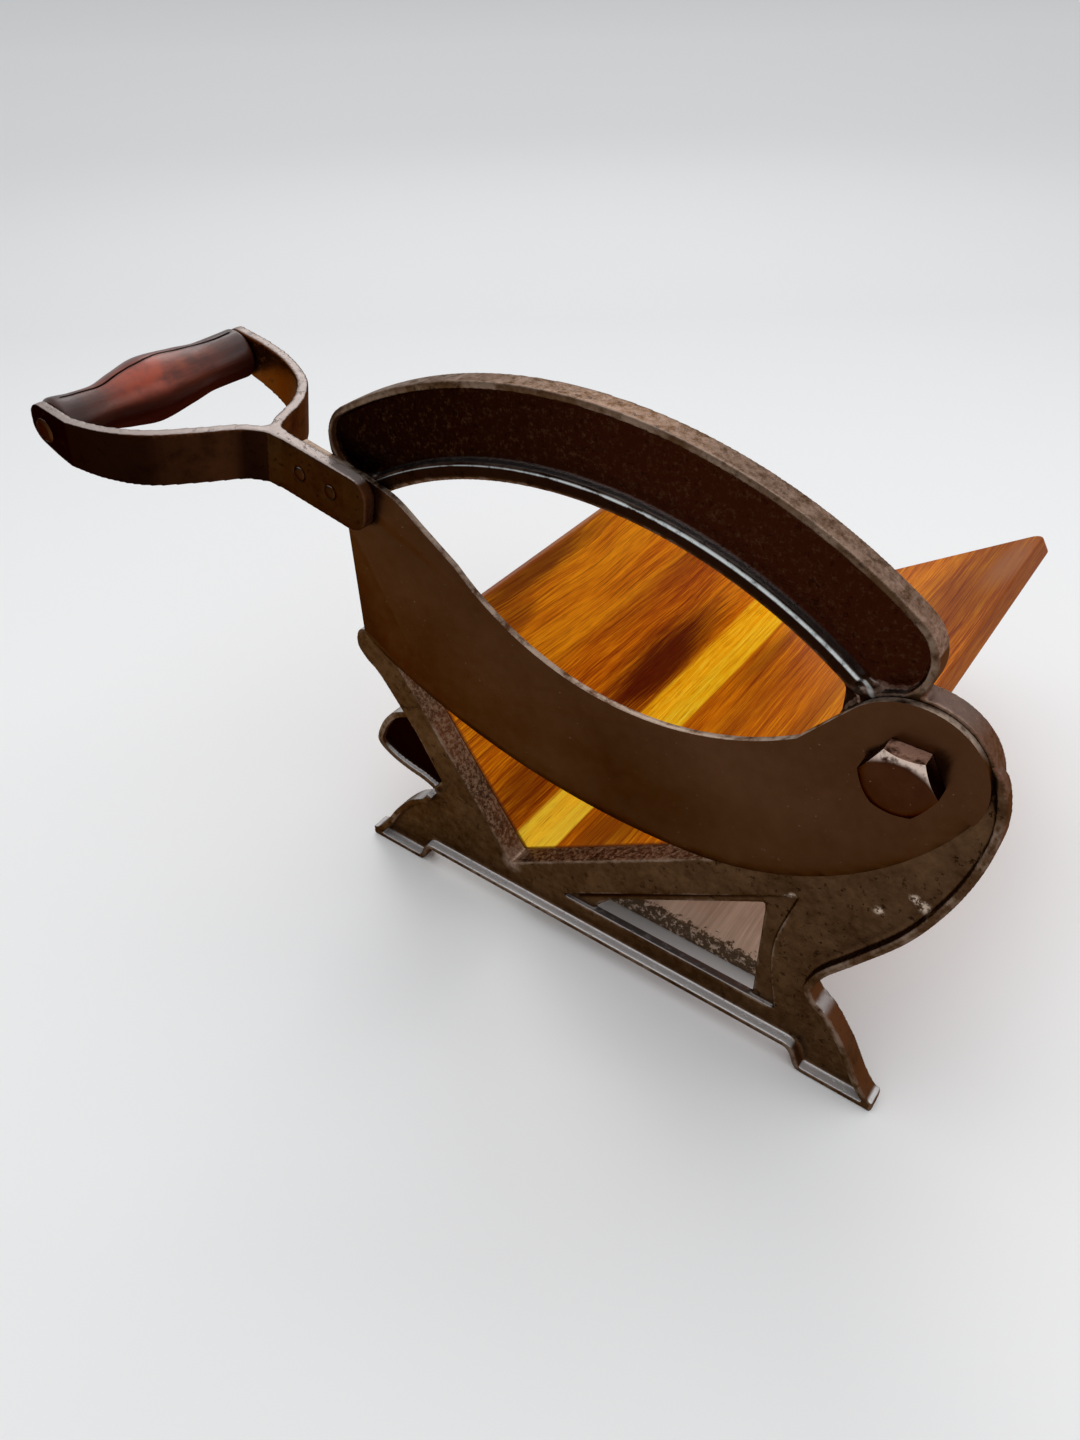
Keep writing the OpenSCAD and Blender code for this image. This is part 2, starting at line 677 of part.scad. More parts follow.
module short_cleat() color(beech) placed() difference() {
    under_short(0, cleat_y) cleat_block(short_cleat_at);
    cleat_holes(1);
}
module cleat_screws() color(bright) placed() for (s = [0, 1]) at_cleat_screws(s) wood_screw(cleat);
module leg_screws() color(bright) placed() for (s = [0, 1]) at_leg_screws(s) wood_screw(cleat + fit);

// Pivot

bolt_r = bolt_d / 2;
sleeve_r = bolt_r + fit + sleeve_wall;
head_back = blade_front - head_gap;
head_front = head_back - head_t;
hex_r = hex_af / 2 / cos(30);
washer_back = boss_back + washer_t;
spring_back = washer_back + spring_t;
nut_back = spring_back + nut_t;

// A ring round the pivot between two depths
module ring(r_in, r_out, y0, y1) {
    difference() {
        rod(pivot, r_out, y0, y1);
        rod(pivot, r_in, y0 - 1, y1 + 1);
    }
}
module hex(y0, y1) {
    slab(y0, y1) translate(pivot) circle(r = hex_r, $fn = 6);
}

module pivot_bolt() color(bolt_brown) placed() {
    intersection() {
        hex(head_front, head_back);
        turned_y(pivot) polygon([[0, head_front], [hex_af / 2 - 3, head_front],
            [hex_af / 2 - 0.8, head_front + 0.8], [hex_r + 0.1, head_front + 3],
            [hex_r + 0.1, head_back], [0, head_back]]);
    }
    rod(pivot, bolt_r, head_back - eps, nut_back + 2);
    turned_y(pivot) polygon([[0, nut_back + 2], [bolt_r, nut_back + 2], [bolt_r - 1.4, nut_back + 3.4],
        [0, nut_back + 3.4]]);
}
module pivot_sleeve() color(bright) placed() ring(bolt_r + fit, sleeve_r, head_back, face_y + disc_t);
module friction_disc() color(leather) placed()
    ring(sleeve_r + fit, disc_r, blade_back + 0.1, face_y + disc_t);
module flat_washer() color(bright) placed() ring(bolt_r + fit, washer_r, boss_back, washer_back);
module spring_washer() color(bright) placed() difference() {
    ring(bolt_r + fit, washer_r - 3, washer_back, spring_back);
    translate([pivot[0], 0, pivot[1]]) rotate([0, -60, 0]) translate([0, washer_back - 1, -0.5])
        cube([washer_r, spring_t + 2, 1]);
}
module pivot_nut() color(bolt_brown) placed() difference() {
    intersection() {
        hex(spring_back, nut_back);
        turned_y(pivot) polygon([[0, spring_back], [hex_af / 2, spring_back],
            [hex_r + 0.1, spring_back + 1.2], [hex_r + 0.1, nut_back - 1.2],
            [hex_af / 2, nut_back], [0, nut_back]]);
    }
    rod(pivot, bolt_r + fit, spring_back - 1, nut_back + 1);
}

// Blade

// The crossing of two circles, on the left of the way from the first centre to the second
function meet(c1, r1, c2, r2) =
    let (d = norm(c2 - c1), u = (c2 - c1) / d, a = (r1 * r1 - r2 * r2 + d * d) / (2 * d))
    c1 + a * u + sqrt(max(r1 * r1 - a * a, 0)) * turned(u);
function on_handle(u, w) = handle_at + u * [-cos(handle_tilt), sin(handle_tilt)]
    + w * [sin(handle_tilt), cos(handle_tilt)];

edge_c = pivot + [-belly_x, edge_r - blade_drop];
hollow_c = pivot + [-hollow_x, hollow_r + blade_w - blade_drop];
heel_c = meet(pivot, heel_r - eye_r, edge_c, edge_r - heel_r);
blade_end = pivot_x - blade_reach;
toe_r = 9;
edge_from = -acos((blade_end + toe_r - edge_c[0]) / edge_r);
heel_from = heading(heel_c - edge_c);
eye_from = heading(pivot - heel_c);
hollow_end = hollow_c + hollow_r * [cos(-136), sin(-136)];
tang_w = band_h / 2 - 1.2;
shoulder = on_handle(6, tang_w) - hollow_end;
module blade_2d() {
    polygon(concat(
        [[blade_end, edge_c[1] + edge_r * sin(edge_from) + toe_r]],
        shorn(arc(edge_c, edge_r, edge_from, heel_from, 40)),
        middle(arc(heel_c, heel_r, heel_from, eye_from)),
        rest(arc(pivot, eye_r, eye_from, 138, 28)),
        arc(hollow_c, hollow_r, -56, -136, 28),
        rest(curve([hollow_end, hollow_end + 0.35 * shoulder + 0.03 * turned(-shoulder),
            hollow_end + 0.7 * shoulder + 0.06 * turned(-shoulder), on_handle(6, tang_w)])),
        [on_handle(tang_len - 4, tang_w), on_handle(tang_len, tang_w - 4), on_handle(tang_len, 4 - tang_w),
            on_handle(tang_len - 4, -tang_w), on_handle(24, -tang_w),
            [blade_end, on_handle(20, -tang_w)[1] - 6]]));
}
rivet_at = [for (i = [0, 1]) on_handle(tang_len - 8 - i * rivet_gap, 0)];
module rivet_holes() {
    for (p = rivet_at) rod(p, rivet_d / 2 + fit, stem_front - 1, blade_back + 1);
}

// Section of the ground bevel along an edge of radius r, running on past the edge and the front face
module bevel_cut(r) {
    slope = (blade_t - edge_t) / bevel_w;
    polygon([[r - bevel_w - 1 / slope, blade_front - 1], [r + 1, blade_front - 1],
        [r + 1, blade_back - edge_t + slope]]);
}
// The heel's grinding laps over the end of the edge's grinding, so that no skin of steel stays between them
lap = 1.6;
function turn_for(length, r) = length / r * 180 / PI;
module blade() color(steel) placed() difference() {
    slab(blade_front, blade_back) blade_2d();
    turned_y(edge_c, edge_from - 4, heel_from - edge_from + 4 - turn_for(lap, edge_r)) bevel_cut(edge_r);
    turned_y(heel_c, heel_from - turn_for(2 * lap, heel_r), eye_from - heel_from + turn_for(2 * lap, heel_r))
        bevel_cut(heel_r);
    rod(pivot, sleeve_r + fit, blade_front - 1, blade_back + 1);
    rivet_holes();
}

// Handle: x runs back from the grip to the end of the stem, z is across the band
module at_handle() {
    translate([handle_at[0], stem_mid_y, handle_at[1]]) rotate([0, handle_tilt, 0]) children();
}
arm_end = grip_u + arm_over;

// Middle lines of the arms from the stem out to the tips, in shares of the bend and of the spread
front_profile = [[0.12, 0.02], [0.27, 0.15], [0.42, 0.42], [0.6, 0.71], [0.8, 0.9], [1, 1]];
rear_profile = [[0.13, 0.02], [0.2, 0.2], [0.25, 0.4], [0.32, 0.58],
    [0.45, 0.77], [0.62, 0.89], [0.8, 0.965], [1, 1]];
function arm_line(profile, spread) = concat(
    curve([for (p = profile) [-(stem_len + p[0] * bend_len), p[1] * spread]]), [[-arm_end, spread]]);
front_line = arm_line(front_profile, -arm_mid - fork_out);
rear_line = arm_line(rear_profile, arm_mid - fork_out);
function beyond(p, v) = [for (q = p) if (q[1] * sign(v) > abs(v)) q];
module fork_plan() {
    side = stem_t / 2;
    polygon(concat(
        [[0, side], [0, -side], [-stem_len, -side]],
        beyond(moved(front_line, arm_t / 2), -side - 0.2),
        reversed(beyond(moved(front_line, -arm_t / 2), -1)),
        beyond(moved(rear_line, arm_t / 2), 1),
        reversed(beyond(moved(rear_line, -arm_t / 2), side + 0.2)),
        [[-stem_len, side]]));
}
// Side view of the band, from its upper right corner round to the tip and back underneath
module fork_side() {
    top = band_h / 2;
    polygon(rounded([[0, top, 9], [-arm_end, top - 2, 7], [-arm_end, -top + 7, 8],
        [-arm_end + 16, -top + 3.2, 9], [-stem_len - bend_len * 0.6, -top - 0.8, 60], [0, -top, 9]]));
}
module handle_fork() color(iron) placed() difference() {
    at_handle() intersection() {
        translate([0, 0, -band_h]) linear_extrude(2 * band_h) fork_plan();
        slab(-arm_mid - arm_t - fork_out, arm_mid + arm_t) fork_side();
    }
    rivet_holes();
    rod(grip_at, rod_d / 2 + fit, fork_y - rod_half - 1, fork_y + rod_half + 1);
}
module handle_rivets() color(bright) placed() for (p = rivet_at) {
    rod(p, rivet_d / 2, stem_front, blade_back);
    translate([p[0], stem_front, p[1]]) rotate([90, 0, 0])
        cylinder(d1 = rivet_d, d2 = rivet_d * 0.6, h = 0.5);
}
module grip_rod() color(iron) placed() {
    rod(grip_at, rod_d / 2, fork_y - rod_half, fork_y + rod_half);
    for (s = [-1, 1]) translate([grip_at[0], fork_y + s * (rod_half - peen), grip_at[1]])
        rotate([s * -90, 0, 0]) cylinder(r1 = rod_d / 2 + 1.4, r2 = rod_d / 2, h = peen);
}

// Grip: radius against the share of its length, from its front end to its rear end
grip_line = curve([[grip_end_r, -0.48], [share([neck_r, grip_end_r], 0.3), -0.39], [neck_r, -0.29],
    [share([neck_r, swell_r], 0.5), -0.17], [swell_r, -0.03], [share([neck_r, swell_r], 0.63), 0.15],
    [share([neck_r, swell_r], 0.28), 0.29], [share([neck_r, grip_end_r], 0.9), 0.42], [grip_end_r, 0.48]], 5);
module grip() color(lacquer) placed() {
    bore = rod_d / 2 + fit;
    turned_y(grip_at) polygon(concat(
        [[bore, fork_y - grip_len / 2], [grip_end_r - 1.5, fork_y - grip_len / 2]],
        [for (p = grip_line) [p[0], fork_y + p[1] * grip_len]],
        [[grip_end_r - 1.5, fork_y + grip_len / 2], [bore, fork_y + grip_len / 2]]));
}

frame();
long_board();
short_board();
valley_nails();
long_board_screws();
short_board_screws();
base_board();
front_bearer();
rear_leg();
base_screws();
long_cleat();
short_cleat();
cleat_screws();
leg_screws();
pivot_bolt();
pivot_sleeve();
friction_disc();
flat_washer();
spring_washer();
pivot_nut();
blade();
handle_fork();
handle_rivets();
grip_rod();
grip();
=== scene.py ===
"""Looks of the hand-lever bread slicer: materials, soft castings, boards and grip."""
import json
import math
from functools import reduce

import bmesh
import bpy
import numpy as np
from mathutils import Matrix, Vector


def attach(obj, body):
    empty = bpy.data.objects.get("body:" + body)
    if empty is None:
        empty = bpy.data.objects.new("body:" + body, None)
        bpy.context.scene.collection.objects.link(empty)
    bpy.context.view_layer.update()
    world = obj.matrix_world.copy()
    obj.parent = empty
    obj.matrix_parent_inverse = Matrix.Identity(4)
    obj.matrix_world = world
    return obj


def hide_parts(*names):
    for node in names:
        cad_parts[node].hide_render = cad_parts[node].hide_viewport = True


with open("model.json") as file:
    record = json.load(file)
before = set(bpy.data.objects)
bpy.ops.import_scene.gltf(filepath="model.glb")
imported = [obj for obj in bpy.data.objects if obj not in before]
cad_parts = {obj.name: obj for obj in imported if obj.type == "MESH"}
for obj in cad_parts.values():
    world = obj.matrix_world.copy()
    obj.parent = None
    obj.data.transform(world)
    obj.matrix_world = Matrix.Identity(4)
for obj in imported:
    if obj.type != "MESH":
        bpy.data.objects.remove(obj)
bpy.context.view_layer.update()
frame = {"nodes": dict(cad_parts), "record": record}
nodes = frame["nodes"]
scene = bpy.context.scene
scene.view_settings.view_transform = "Standard"

# Sizes and places in millimetres in the front view of the part's source: x right, y back, z up.
# The blade's hinge places them in the frame.
HINGE = next(j for j in frame["record"]["behaviour"]["joints"] if j["name"] == "blade_swing")
PIVOT, PIVOT_Y = Vector((122, 184.5)), 3.8
ORIGIN = Vector(HINGE["pos_m"]) * 1000 - Vector((PIVOT[0], PIVOT_Y, PIVOT[1]))

# Frame: front and back of the web, depth of the flange round the throat, boss, and the box of the scroll,
# whose hollow gets painted shade
FACE, WEB_BACK = 5.5, 10
FLANGE_DEPTH = 19
BOSS_R = 32
SCROLL_RIGHT, SCROLL_LOW, SCROLL_HIGH = -92, 52, 100

# Arch: middle, inner radius, width of the band and of its lower rim, height where it starts, and where
# along x its sunken panel, all in painted shade, darkens towards the left, and where the painted shade on
# its lower rim ends
ARCH = PIVOT - Vector((137.5, 131))
ARCH_R, BAND, LOWER_RIM = 189, 38.5, 9
ARCH_FOOT = 190
PANEL_DARKENS, RIM_RIGHT = (-110, 60), (112, 96)

# Painted highlight lines on the arch's lower rim: radius of each, where they fade in and out along x, and
# where the bright one grows from its least half width, and by how much
SILVER_R, BROWN_R = 195.4, ARCH_R + 0.9
LINE_LEFT, LINE_RIGHT = (-122, -112), (108, 98)
SILVER_GROWS, SILVER_HALF, SILVER_GROWTH = (-90, 50), 0.3, 0.6

# Window in the web: middle, lower edge, half widths of the sill and groove that get painted shade, and the
# line of the step over it, which the groove follows
WINDOW_MIDDLE, WINDOW_LOW, SILL_HALF, GROOVE_HALF = 40, 25.5, 60, 52
STEP_START, STEP_DIR = Vector((-9.5, 32)), Vector((0.829, 0.558))

# Spots (x, z, radius): chips in the frame's enamel, and the painted shadow in the notch between arch and
# boss
FLAWS = [(140, 126, 3.4), (136.5, 128, 2.6), (125.6, 114, 2.6), (92.7, 99.8, 2.4), (90, 97.4, 2.0)]
NOTCH = [(98, 200, 9), (104, 205, 9), (112, 209, 9)]

# Trough: its lowest line, and the directions and sizes of its two boards; front of the base board
VALLEY = Vector((-52, 29))
SLOPE = math.radians(33)
LONG_DIR = Vector((math.cos(SLOPE), math.sin(SLOPE)))
SHORT_DIR = Vector((-LONG_DIR[1], LONG_DIR[0]))
BOARD_FRONT, BOARD_BACK, BOARD_T, LONG_W, SHORT_W = 17.7, 301.7, 9, 180, 119
BOARD_CORNER, BOARD_EASE, BOARD_GAP = 9, 1.1, 0.06
BASE_FRONT = 35

# Handle fork: where along x its front darkens with painted shade and the inside of its back arm turns warm
# with a painted glow
FORK_DARKENS, FORK_WARMS = (-130, -175), (-140, -160)

# Grip: middle, length, radii of ends, swell, neck and bore, and points round it
GRIP = Vector((-239.181, -4.7, 238.321))
GRIP_LEN = 102
GRIP_END, GRIP_SWELL, GRIP_NECK, GRIP_BORE = 11.5, 14.5, 9.9, 4.06
GRIP_TURNS = 96

# Crack along the grip: angle in radians, half width, depth, and its reach as a share of the length
CRACK_ANGLE, CRACK_HALF, CRACK_DEPTH, CRACK_REACH = 1.45, 1.0, 0.4, 0.46

# Camera of the photo: place, angles in degrees and focal length on a sensor 36 mm high
CAMERA_PLACE = (178.9, -270.4, 420.0)
CAMERA_TURN, CAMERA_PITCH, CAMERA_ROLL = 37.3, 39.65, 1.6
CAMERA_LENS, CAMERA_SENSOR = 26.0, 36

# A point that stands out this far is all edge
EDGE_HEIGHT = 0.3

# In metres: voxel of the softened castings, least area of a board's face that is shaded flat, half the
# floor's width, and how far the floor lies under the feet
VOXEL = 0.0007
BROAD_FACE = 4e-4
FLOOR_HALF, FLOOR_DROP = 14, 0.0003

# Colours, linear, by where they show
# The steel lip colour is a painted highlight on the lip's bevel at the front
METAL_GLEAM, STEEL_LIP_HIGHLIGHT = (0.45, 0.4, 0.35), (0.85, 0.66, 0.56)
IRON = {
    "pit": (0.012, 0.006, 0.003),
    # Painted reddish reflection on faces that look right
    "right": (0.13, 0.045, 0.018),
    # Warm tone on the boss, and a painted warm glow inside the fork's back arm
    "warm": (0.15, 0.045, 0.012),
    # Painted shade in hollows, recesses and under overhangs
    "shade": (0.009, 0.0024, 0.001),
    "panel": (0.028, 0.006, 0.002),
    "edge": (0.3, 0.22, 0.17),
    "speck": (0.24, 0.145, 0.09),
    # Pale back of the arch and top of the boss: partly wear, partly painted highlight
    "top": (0.35, 0.225, 0.165),
    "cast": (0.075, 0.036, 0.018),
    # Painted highlight lines on the arch's lower rim, brown and bright
    "brown": (0.34, 0.2, 0.15),
    "silver_highlight": (0.62, 0.65, 0.65),
    "chip": (0.6, 0.48, 0.38),
}
AMBER = {
    "gleam": (1.0, 0.65, 0.35),
    "dark": (0.27, 0.036, 0.001),
    "middle": (0.57, 0.14, 0.001),
    "light": (0.8, 0.27, 0.003),
    "glow": (0.85, 0.34, 0.005),
    "line": (0.16, 0.017, 0.001),
    "sap_dark": (0.74, 0.27, 0.002),
    "sap_middle": (0.92, 0.47, 0.004),
    "sap_light": (1.0, 0.72, 0.04),
    "sap_front": (1.0, 0.75, 0.06),
    "pore": (0.2, 0.03, 0.001),
    "end": (0.2, 0.045, 0.01),
    "heart": (0.07, 0.0035, 0.001),
    "scuff": (0.32, 0.13, 0.06),
}
TORN_WOOD = (0.085, 0.045, 0.018)
LACQUER = {
    "dark": (0.06, 0.009, 0.004),
    "middle": (0.13, 0.022, 0.009),
    "light": (0.22, 0.045, 0.016),
    "end": (0.022, 0.008, 0.005),
    # Painted highlight glowing on the grip, and painted shade underneath
    "glow": (0.36, 0.042, 0.008),
    "under": (0.022, 0.003, 0.0015),
    "worn": (0.02, 0.006, 0.004),
    "crack": (0.004, 0.0015, 0.001),
}
LEATHER_DARK, LEATHER_LIGHT = (0.05, 0.022, 0.01), (0.13, 0.06, 0.03)
# Painted shade across the floor, from front to back
FLOOR_SHADES = [(0.03, (0.89, 0.89, 0.89)), (0.25, (0.755, 0.757, 0.765)),
                (0.44, (0.79, 0.793, 0.8)), (1.0, (0.9, 0.905, 0.91))]
SKY, SKY_STRENGTH = (0.97, 0.985, 1.0, 1), 0.6


def at(x, y, z):
    """A point of the front view, in metres in the frame."""
    return (Vector((x, y, z)) + ORIGIN) / 1000


# Materials

class Look:
    """A material with short calls that add nodes to it. Numbers or sockets go in, sockets come out."""

    def __init__(self, name, **fixed):
        self.mat = bpy.data.materials.new(name)
        self.mat.use_nodes = True
        self.tree = self.mat.node_tree
        self.shader = self.tree.nodes["Principled BSDF"]
        self.set(**fixed)
        place = self.add("ShaderNodeTexCoord")
        self.co, self.normal = place.outputs["Object"], place.outputs["Normal"]

    def add(self, kind, values=(), **settings):
        """A node with its settings, and with values or links on the named inputs."""
        node = self.tree.nodes.new(kind)
        for key, value in settings.items():
            setattr(node, key, value)
        for key, value in dict(values).items():
            self.give(node.inputs[key], value)
        return node

    def give(self, socket, value):
        if isinstance(value, bpy.types.NodeSocket):
            self.tree.links.new(value, socket)
        elif socket.type == "RGBA":
            socket.default_value = (*value, 1)
        else:
            socket.default_value = value

    def set(self, **sockets):
        """Values or links on the shader, by the sockets' names."""
        for key, value in sockets.items():
            self.give(self.shader.inputs[key.replace("_", " ")], value)

    def noise(self, scale, detail=3.0, rough=0.55, vector=None):
        values = {"Vector": vector or self.co, "Scale": scale, "Detail": detail, "Roughness": rough}
        return self.add("ShaderNodeTexNoise", values).outputs["Fac"]

    def fibres(self, scale, detail, rough, squeeze, vector=None):
        """Noise drawn out along Y, the way of the grain."""
        values = {"Vector": vector or self.co, "Scale": (1, squeeze, 1)}
        return self.noise(scale, detail, rough, self.add("ShaderNodeMapping", values).outputs[0])

    def cells(self, scale):
        return self.add("ShaderNodeTexVoronoi", {"Vector": self.co, "Scale": scale}).outputs["Distance"]

    def math(self, kind, a, b=0.0):
        return self.add("ShaderNodeMath", {0: a, 1: b}, operation=kind).outputs[0]

    def plus(self, *terms):
        return reduce(lambda a, b: self.math("ADD", a, b), terms)

    def times(self, *factors):
        return reduce(lambda a, b: self.math("MULTIPLY", a, b), factors)

    def most(self, *values):
        return reduce(lambda a, b: self.math("MAXIMUM", a, b), values)

    def minus(self, a, b):
        return self.math("SUBTRACT", a, b)

    def inverse(self, share):
        return self.minus(1.0, share)

    def distance(self, a, b=0.0):
        return self.math("ABSOLUTE", self.minus(a, b))

    def length(self, a, b):
        """Length of a flat vector."""
        return self.math("SQRT", self.plus(self.times(a, a), self.times(b, b)))

    def blend(self, *parts):
        """Sum of (value, share) pairs."""
        return self.plus(*(self.times(value, share) for value, share in parts))

    def rise(self, value, low, high, to=1.0):
        """0 below low, to above high, smooth between them; low may be the larger."""
        values = {"Value": value, "From Min": low, "From Max": high, "To Max": to}
        return self.add("ShaderNodeMapRange", values, interpolation_type="SMOOTHSTEP").outputs[0]

    def between(self, value, low, high, soft):
        return self.times(self.rise(value, low - soft, low + soft),
                          self.rise(value, high + soft, high - soft))

    def axes(self, vector=None):
        return self.add("ShaderNodeSeparateXYZ", {0: vector or self.co}).outputs

    def ramp(self, value, *stops):
        """A colour for each place among the stops (place, colour)."""
        node = self.add("ShaderNodeValToRGB", {0: value})
        points = node.color_ramp.elements
        while len(points) < len(stops):
            points.new(0.5)
        for point, (place, colour) in zip(points, stops):
            point.position, point.color = place, (*colour, 1)
        return node.outputs[0]

    def layers(self, colour, *coats):
        """A colour under coats (share, colour), each laid over those before it."""
        for share, coat in coats:
            colour = self.add("ShaderNodeMix", {0: share, 6: colour, 7: coat}, data_type="RGBA").outputs[2]
        return colour

    def attribute(self, name):
        return self.add("ShaderNodeAttribute", attribute_name=name).outputs["Fac"]

    def bump(self, height, strength, distance):
        values = {"Height": height, "Strength": strength, "Distance": distance}
        self.set(Normal=self.add("ShaderNodeBump", values).outputs[0])


def arch_lines(m, fine):
    """Shares of the painted highlight lines on the arch's lower rim: one bright, wider to the right, and
    one brown.
    """
    on_rim = m.attribute("silver_highlight")
    x, _, z = m.axes()
    middle = at(ARCH[0], 0, ARCH[1])
    out = m.length(m.minus(x, middle[0]), m.minus(z, middle[2]))
    left, right = (at(place, 0, 0)[0] for place in SILVER_GROWS)
    half_width = m.plus(m.rise(x, left, right, SILVER_GROWTH / 1000), SILVER_HALF / 1000)
    half_width = m.times(m.rise(m.noise(70, 5, 0.7), 0.2, 0.5), half_width)
    inside = m.minus(half_width, m.distance(out, SILVER_R / 1000))
    silver_highlight = m.times(on_rim, m.rise(inside, -0.0001, 0.0006), m.rise(fine, 0.2, 0.5))
    brown = m.rise(m.distance(out, BROWN_R / 1000), 0.0008, 0.0003, 0.7)
    return silver_highlight, m.times(on_rim, brown, m.rise(fine, 0.36, 0.54))


def cast_iron(name, dark, body, bare_and_sheen, rough):
    """Dark enamel on a casting: mottled, with a painted pale sheen on the faces that look up, a painted
    reddish reflection on those that look right, painted shade and highlights from the mesh, grainy where it
    was left rough.
    """
    m = Look(name, Specular_Tint=METAL_GLEAM)
    wide, fine, grain = m.noise(34, 5, 0.6), m.noise(210, 4, 0.65), m.noise(900, 2, 0.6)
    pits = m.rise(m.noise(300, 4, 0.7), 0.6, 0.68)
    shade, flange, warm, cast = (m.attribute(key) for key in ("shade", "rough", "warm", "cast"))
    nx, _, nz = m.axes(m.normal)
    # Painted reddish reflection on faces that look right, patchy
    right = m.times(m.rise(nx, 0.3, 0.8, 0.75), m.rise(wide, 0.36, 0.56))
    # Painted sheen: faces that look up are paled, except under shade, flange specks, warm tone or top
    # colour
    up = m.times(m.rise(nz, 0.66, 0.93), m.rise(m.noise(120, 5, 0.7), 0.12, 0.42, 0.9),
                 m.inverse(m.most(shade, flange, warm, m.attribute("top"))))
    edge = m.plus(m.attribute("edge"), m.times(m.minus(fine, 0.5), 1.6))
    edge = m.times(m.rise(edge, 0.62, 1.1), m.rise(wide, 0.42, 0.6, 0.5), m.inverse(m.times(shade, 0.8)))
    speck = m.times(flange, m.rise(m.noise(480, 4, 0.75), 0.42, 0.62), 0.8)
    top = m.times(m.attribute("top"), m.rise(m.noise(260, 5, 0.8), 0.26, 0.7))
    chip = m.times(m.attribute("chip"), m.rise(m.noise(420, 4, 0.75), 0.44, 0.56))
    silver_highlight, brown = arch_lines(m, fine)
    colour = m.layers(
        m.ramp(m.blend((wide, 0.5), (fine, 0.5)), (0.36, dark), (0.64, body)),
        (m.times(pits, 0.7), IRON["pit"]),
        (right, IRON["right"]),
        (warm, IRON["warm"]),
        (shade, IRON["shade"]),
        (m.attribute("panel"), IRON["panel"]),
        (edge, IRON["edge"]),
        (up, bare_and_sheen),
        (speck, IRON["speck"]),
        (m.times(top, 0.85), IRON["top"]),
        (m.times(cast, m.rise(m.noise(520, 4, 0.75), 0.5, 0.75), 0.5), IRON["cast"]),
        (brown, IRON["brown"]),
        (silver_highlight, IRON["silver_highlight"]),
        (chip, IRON["chip"]))
    # Less metal where the painted sheen, the flange specks or the top colour (partly wear, partly painted
    # highlight) lie
    worn = m.most(up, speck, m.times(top, 0.9))
    dull = m.plus(m.blend((fine, 0.26), (grain, 0.12)), m.rise(nx, 0.3, 0.7, 0.3), rough)
    m.set(Base_Color=colour, Metallic=m.inverse(m.times(worn, 0.6)), Roughness=dull)
    lumps = m.blend((fine, 0.5), (grain, m.plus(m.times(m.most(flange, cast), 0.7), 0.16)), (wide, 0.8))
    m.bump(m.minus(lumps, m.times(pits, 0.8)), 0.55, 0.0006)
    return m.mat


def patina_steel(name, low, high, bare_and_sheen, rough):
    """Smooth steel under a brown patina, with a painted paler sheen where it looks up and a painted bright
    highlight on the lip at the front.
    """
    m = Look(name, Specular_Tint=METAL_GLEAM)
    wide, fine = m.noise(14, 4), m.noise(160, 5, 0.65)
    _, ny, nz = m.axes(m.normal)
    # Painted sheen where the steel looks up, and a painted highlight on the lip's bevel
    up = m.times(m.rise(nz, 0.5, 0.8), m.rise(fine, 0.3, 0.6, 0.85))
    lip = m.times(m.between(nz, 0.4, 0.85, 0.12), m.rise(ny, -0.3, -0.5), m.rise(fine, 0.3, 0.5))
    colour = m.layers(
        m.ramp(m.blend((wide, 0.7), (fine, 0.3)), (0.34, low), (0.68, high)),
        (m.rise(m.noise(640, 2, 0.5), 0.72, 0.78, 0.25), bare_and_sheen),
        (up, bare_and_sheen),
        (m.times(lip, 0.9), STEEL_LIP_HIGHLIGHT))
    m.set(Base_Color=colour, Roughness=m.plus(m.times(fine, 0.2), rough))
    m.set(Metallic=m.inverse(m.times(m.most(up, lip), 0.6)))
    m.bump(m.plus(m.times(fine, 0.6), wide), 0.14, 0.0004)
    return m.mat


def steel(name, low, high, rough):
    """Dull, uncoated steel of the hidden screws and washers."""
    m = Look(name, Metallic=1.0)
    wide, fine = m.noise(90, 4), m.noise(600, 4, 0.65)
    m.set(Base_Color=m.ramp(m.blend((wide, 0.6), (fine, 0.4)), (0.35, low), (0.66, high)))
    m.set(Roughness=m.plus(m.times(fine, 0.3), rough))
    m.bump(fine, 0.25, 0.0003)
    return m.mat


def grain_of(m, seed):
    """Wood coordinates that wander a little along the grain, which runs along Y."""
    x, y, z = m.axes()
    drift = m.times(m.minus(m.fibres(9 + seed, 2, 0.5, 0.5), 0.5), 0.022)
    return m.add("ShaderNodeCombineXYZ", {0: m.plus(x, drift), 1: y, 2: m.plus(z, seed)}).outputs[0]


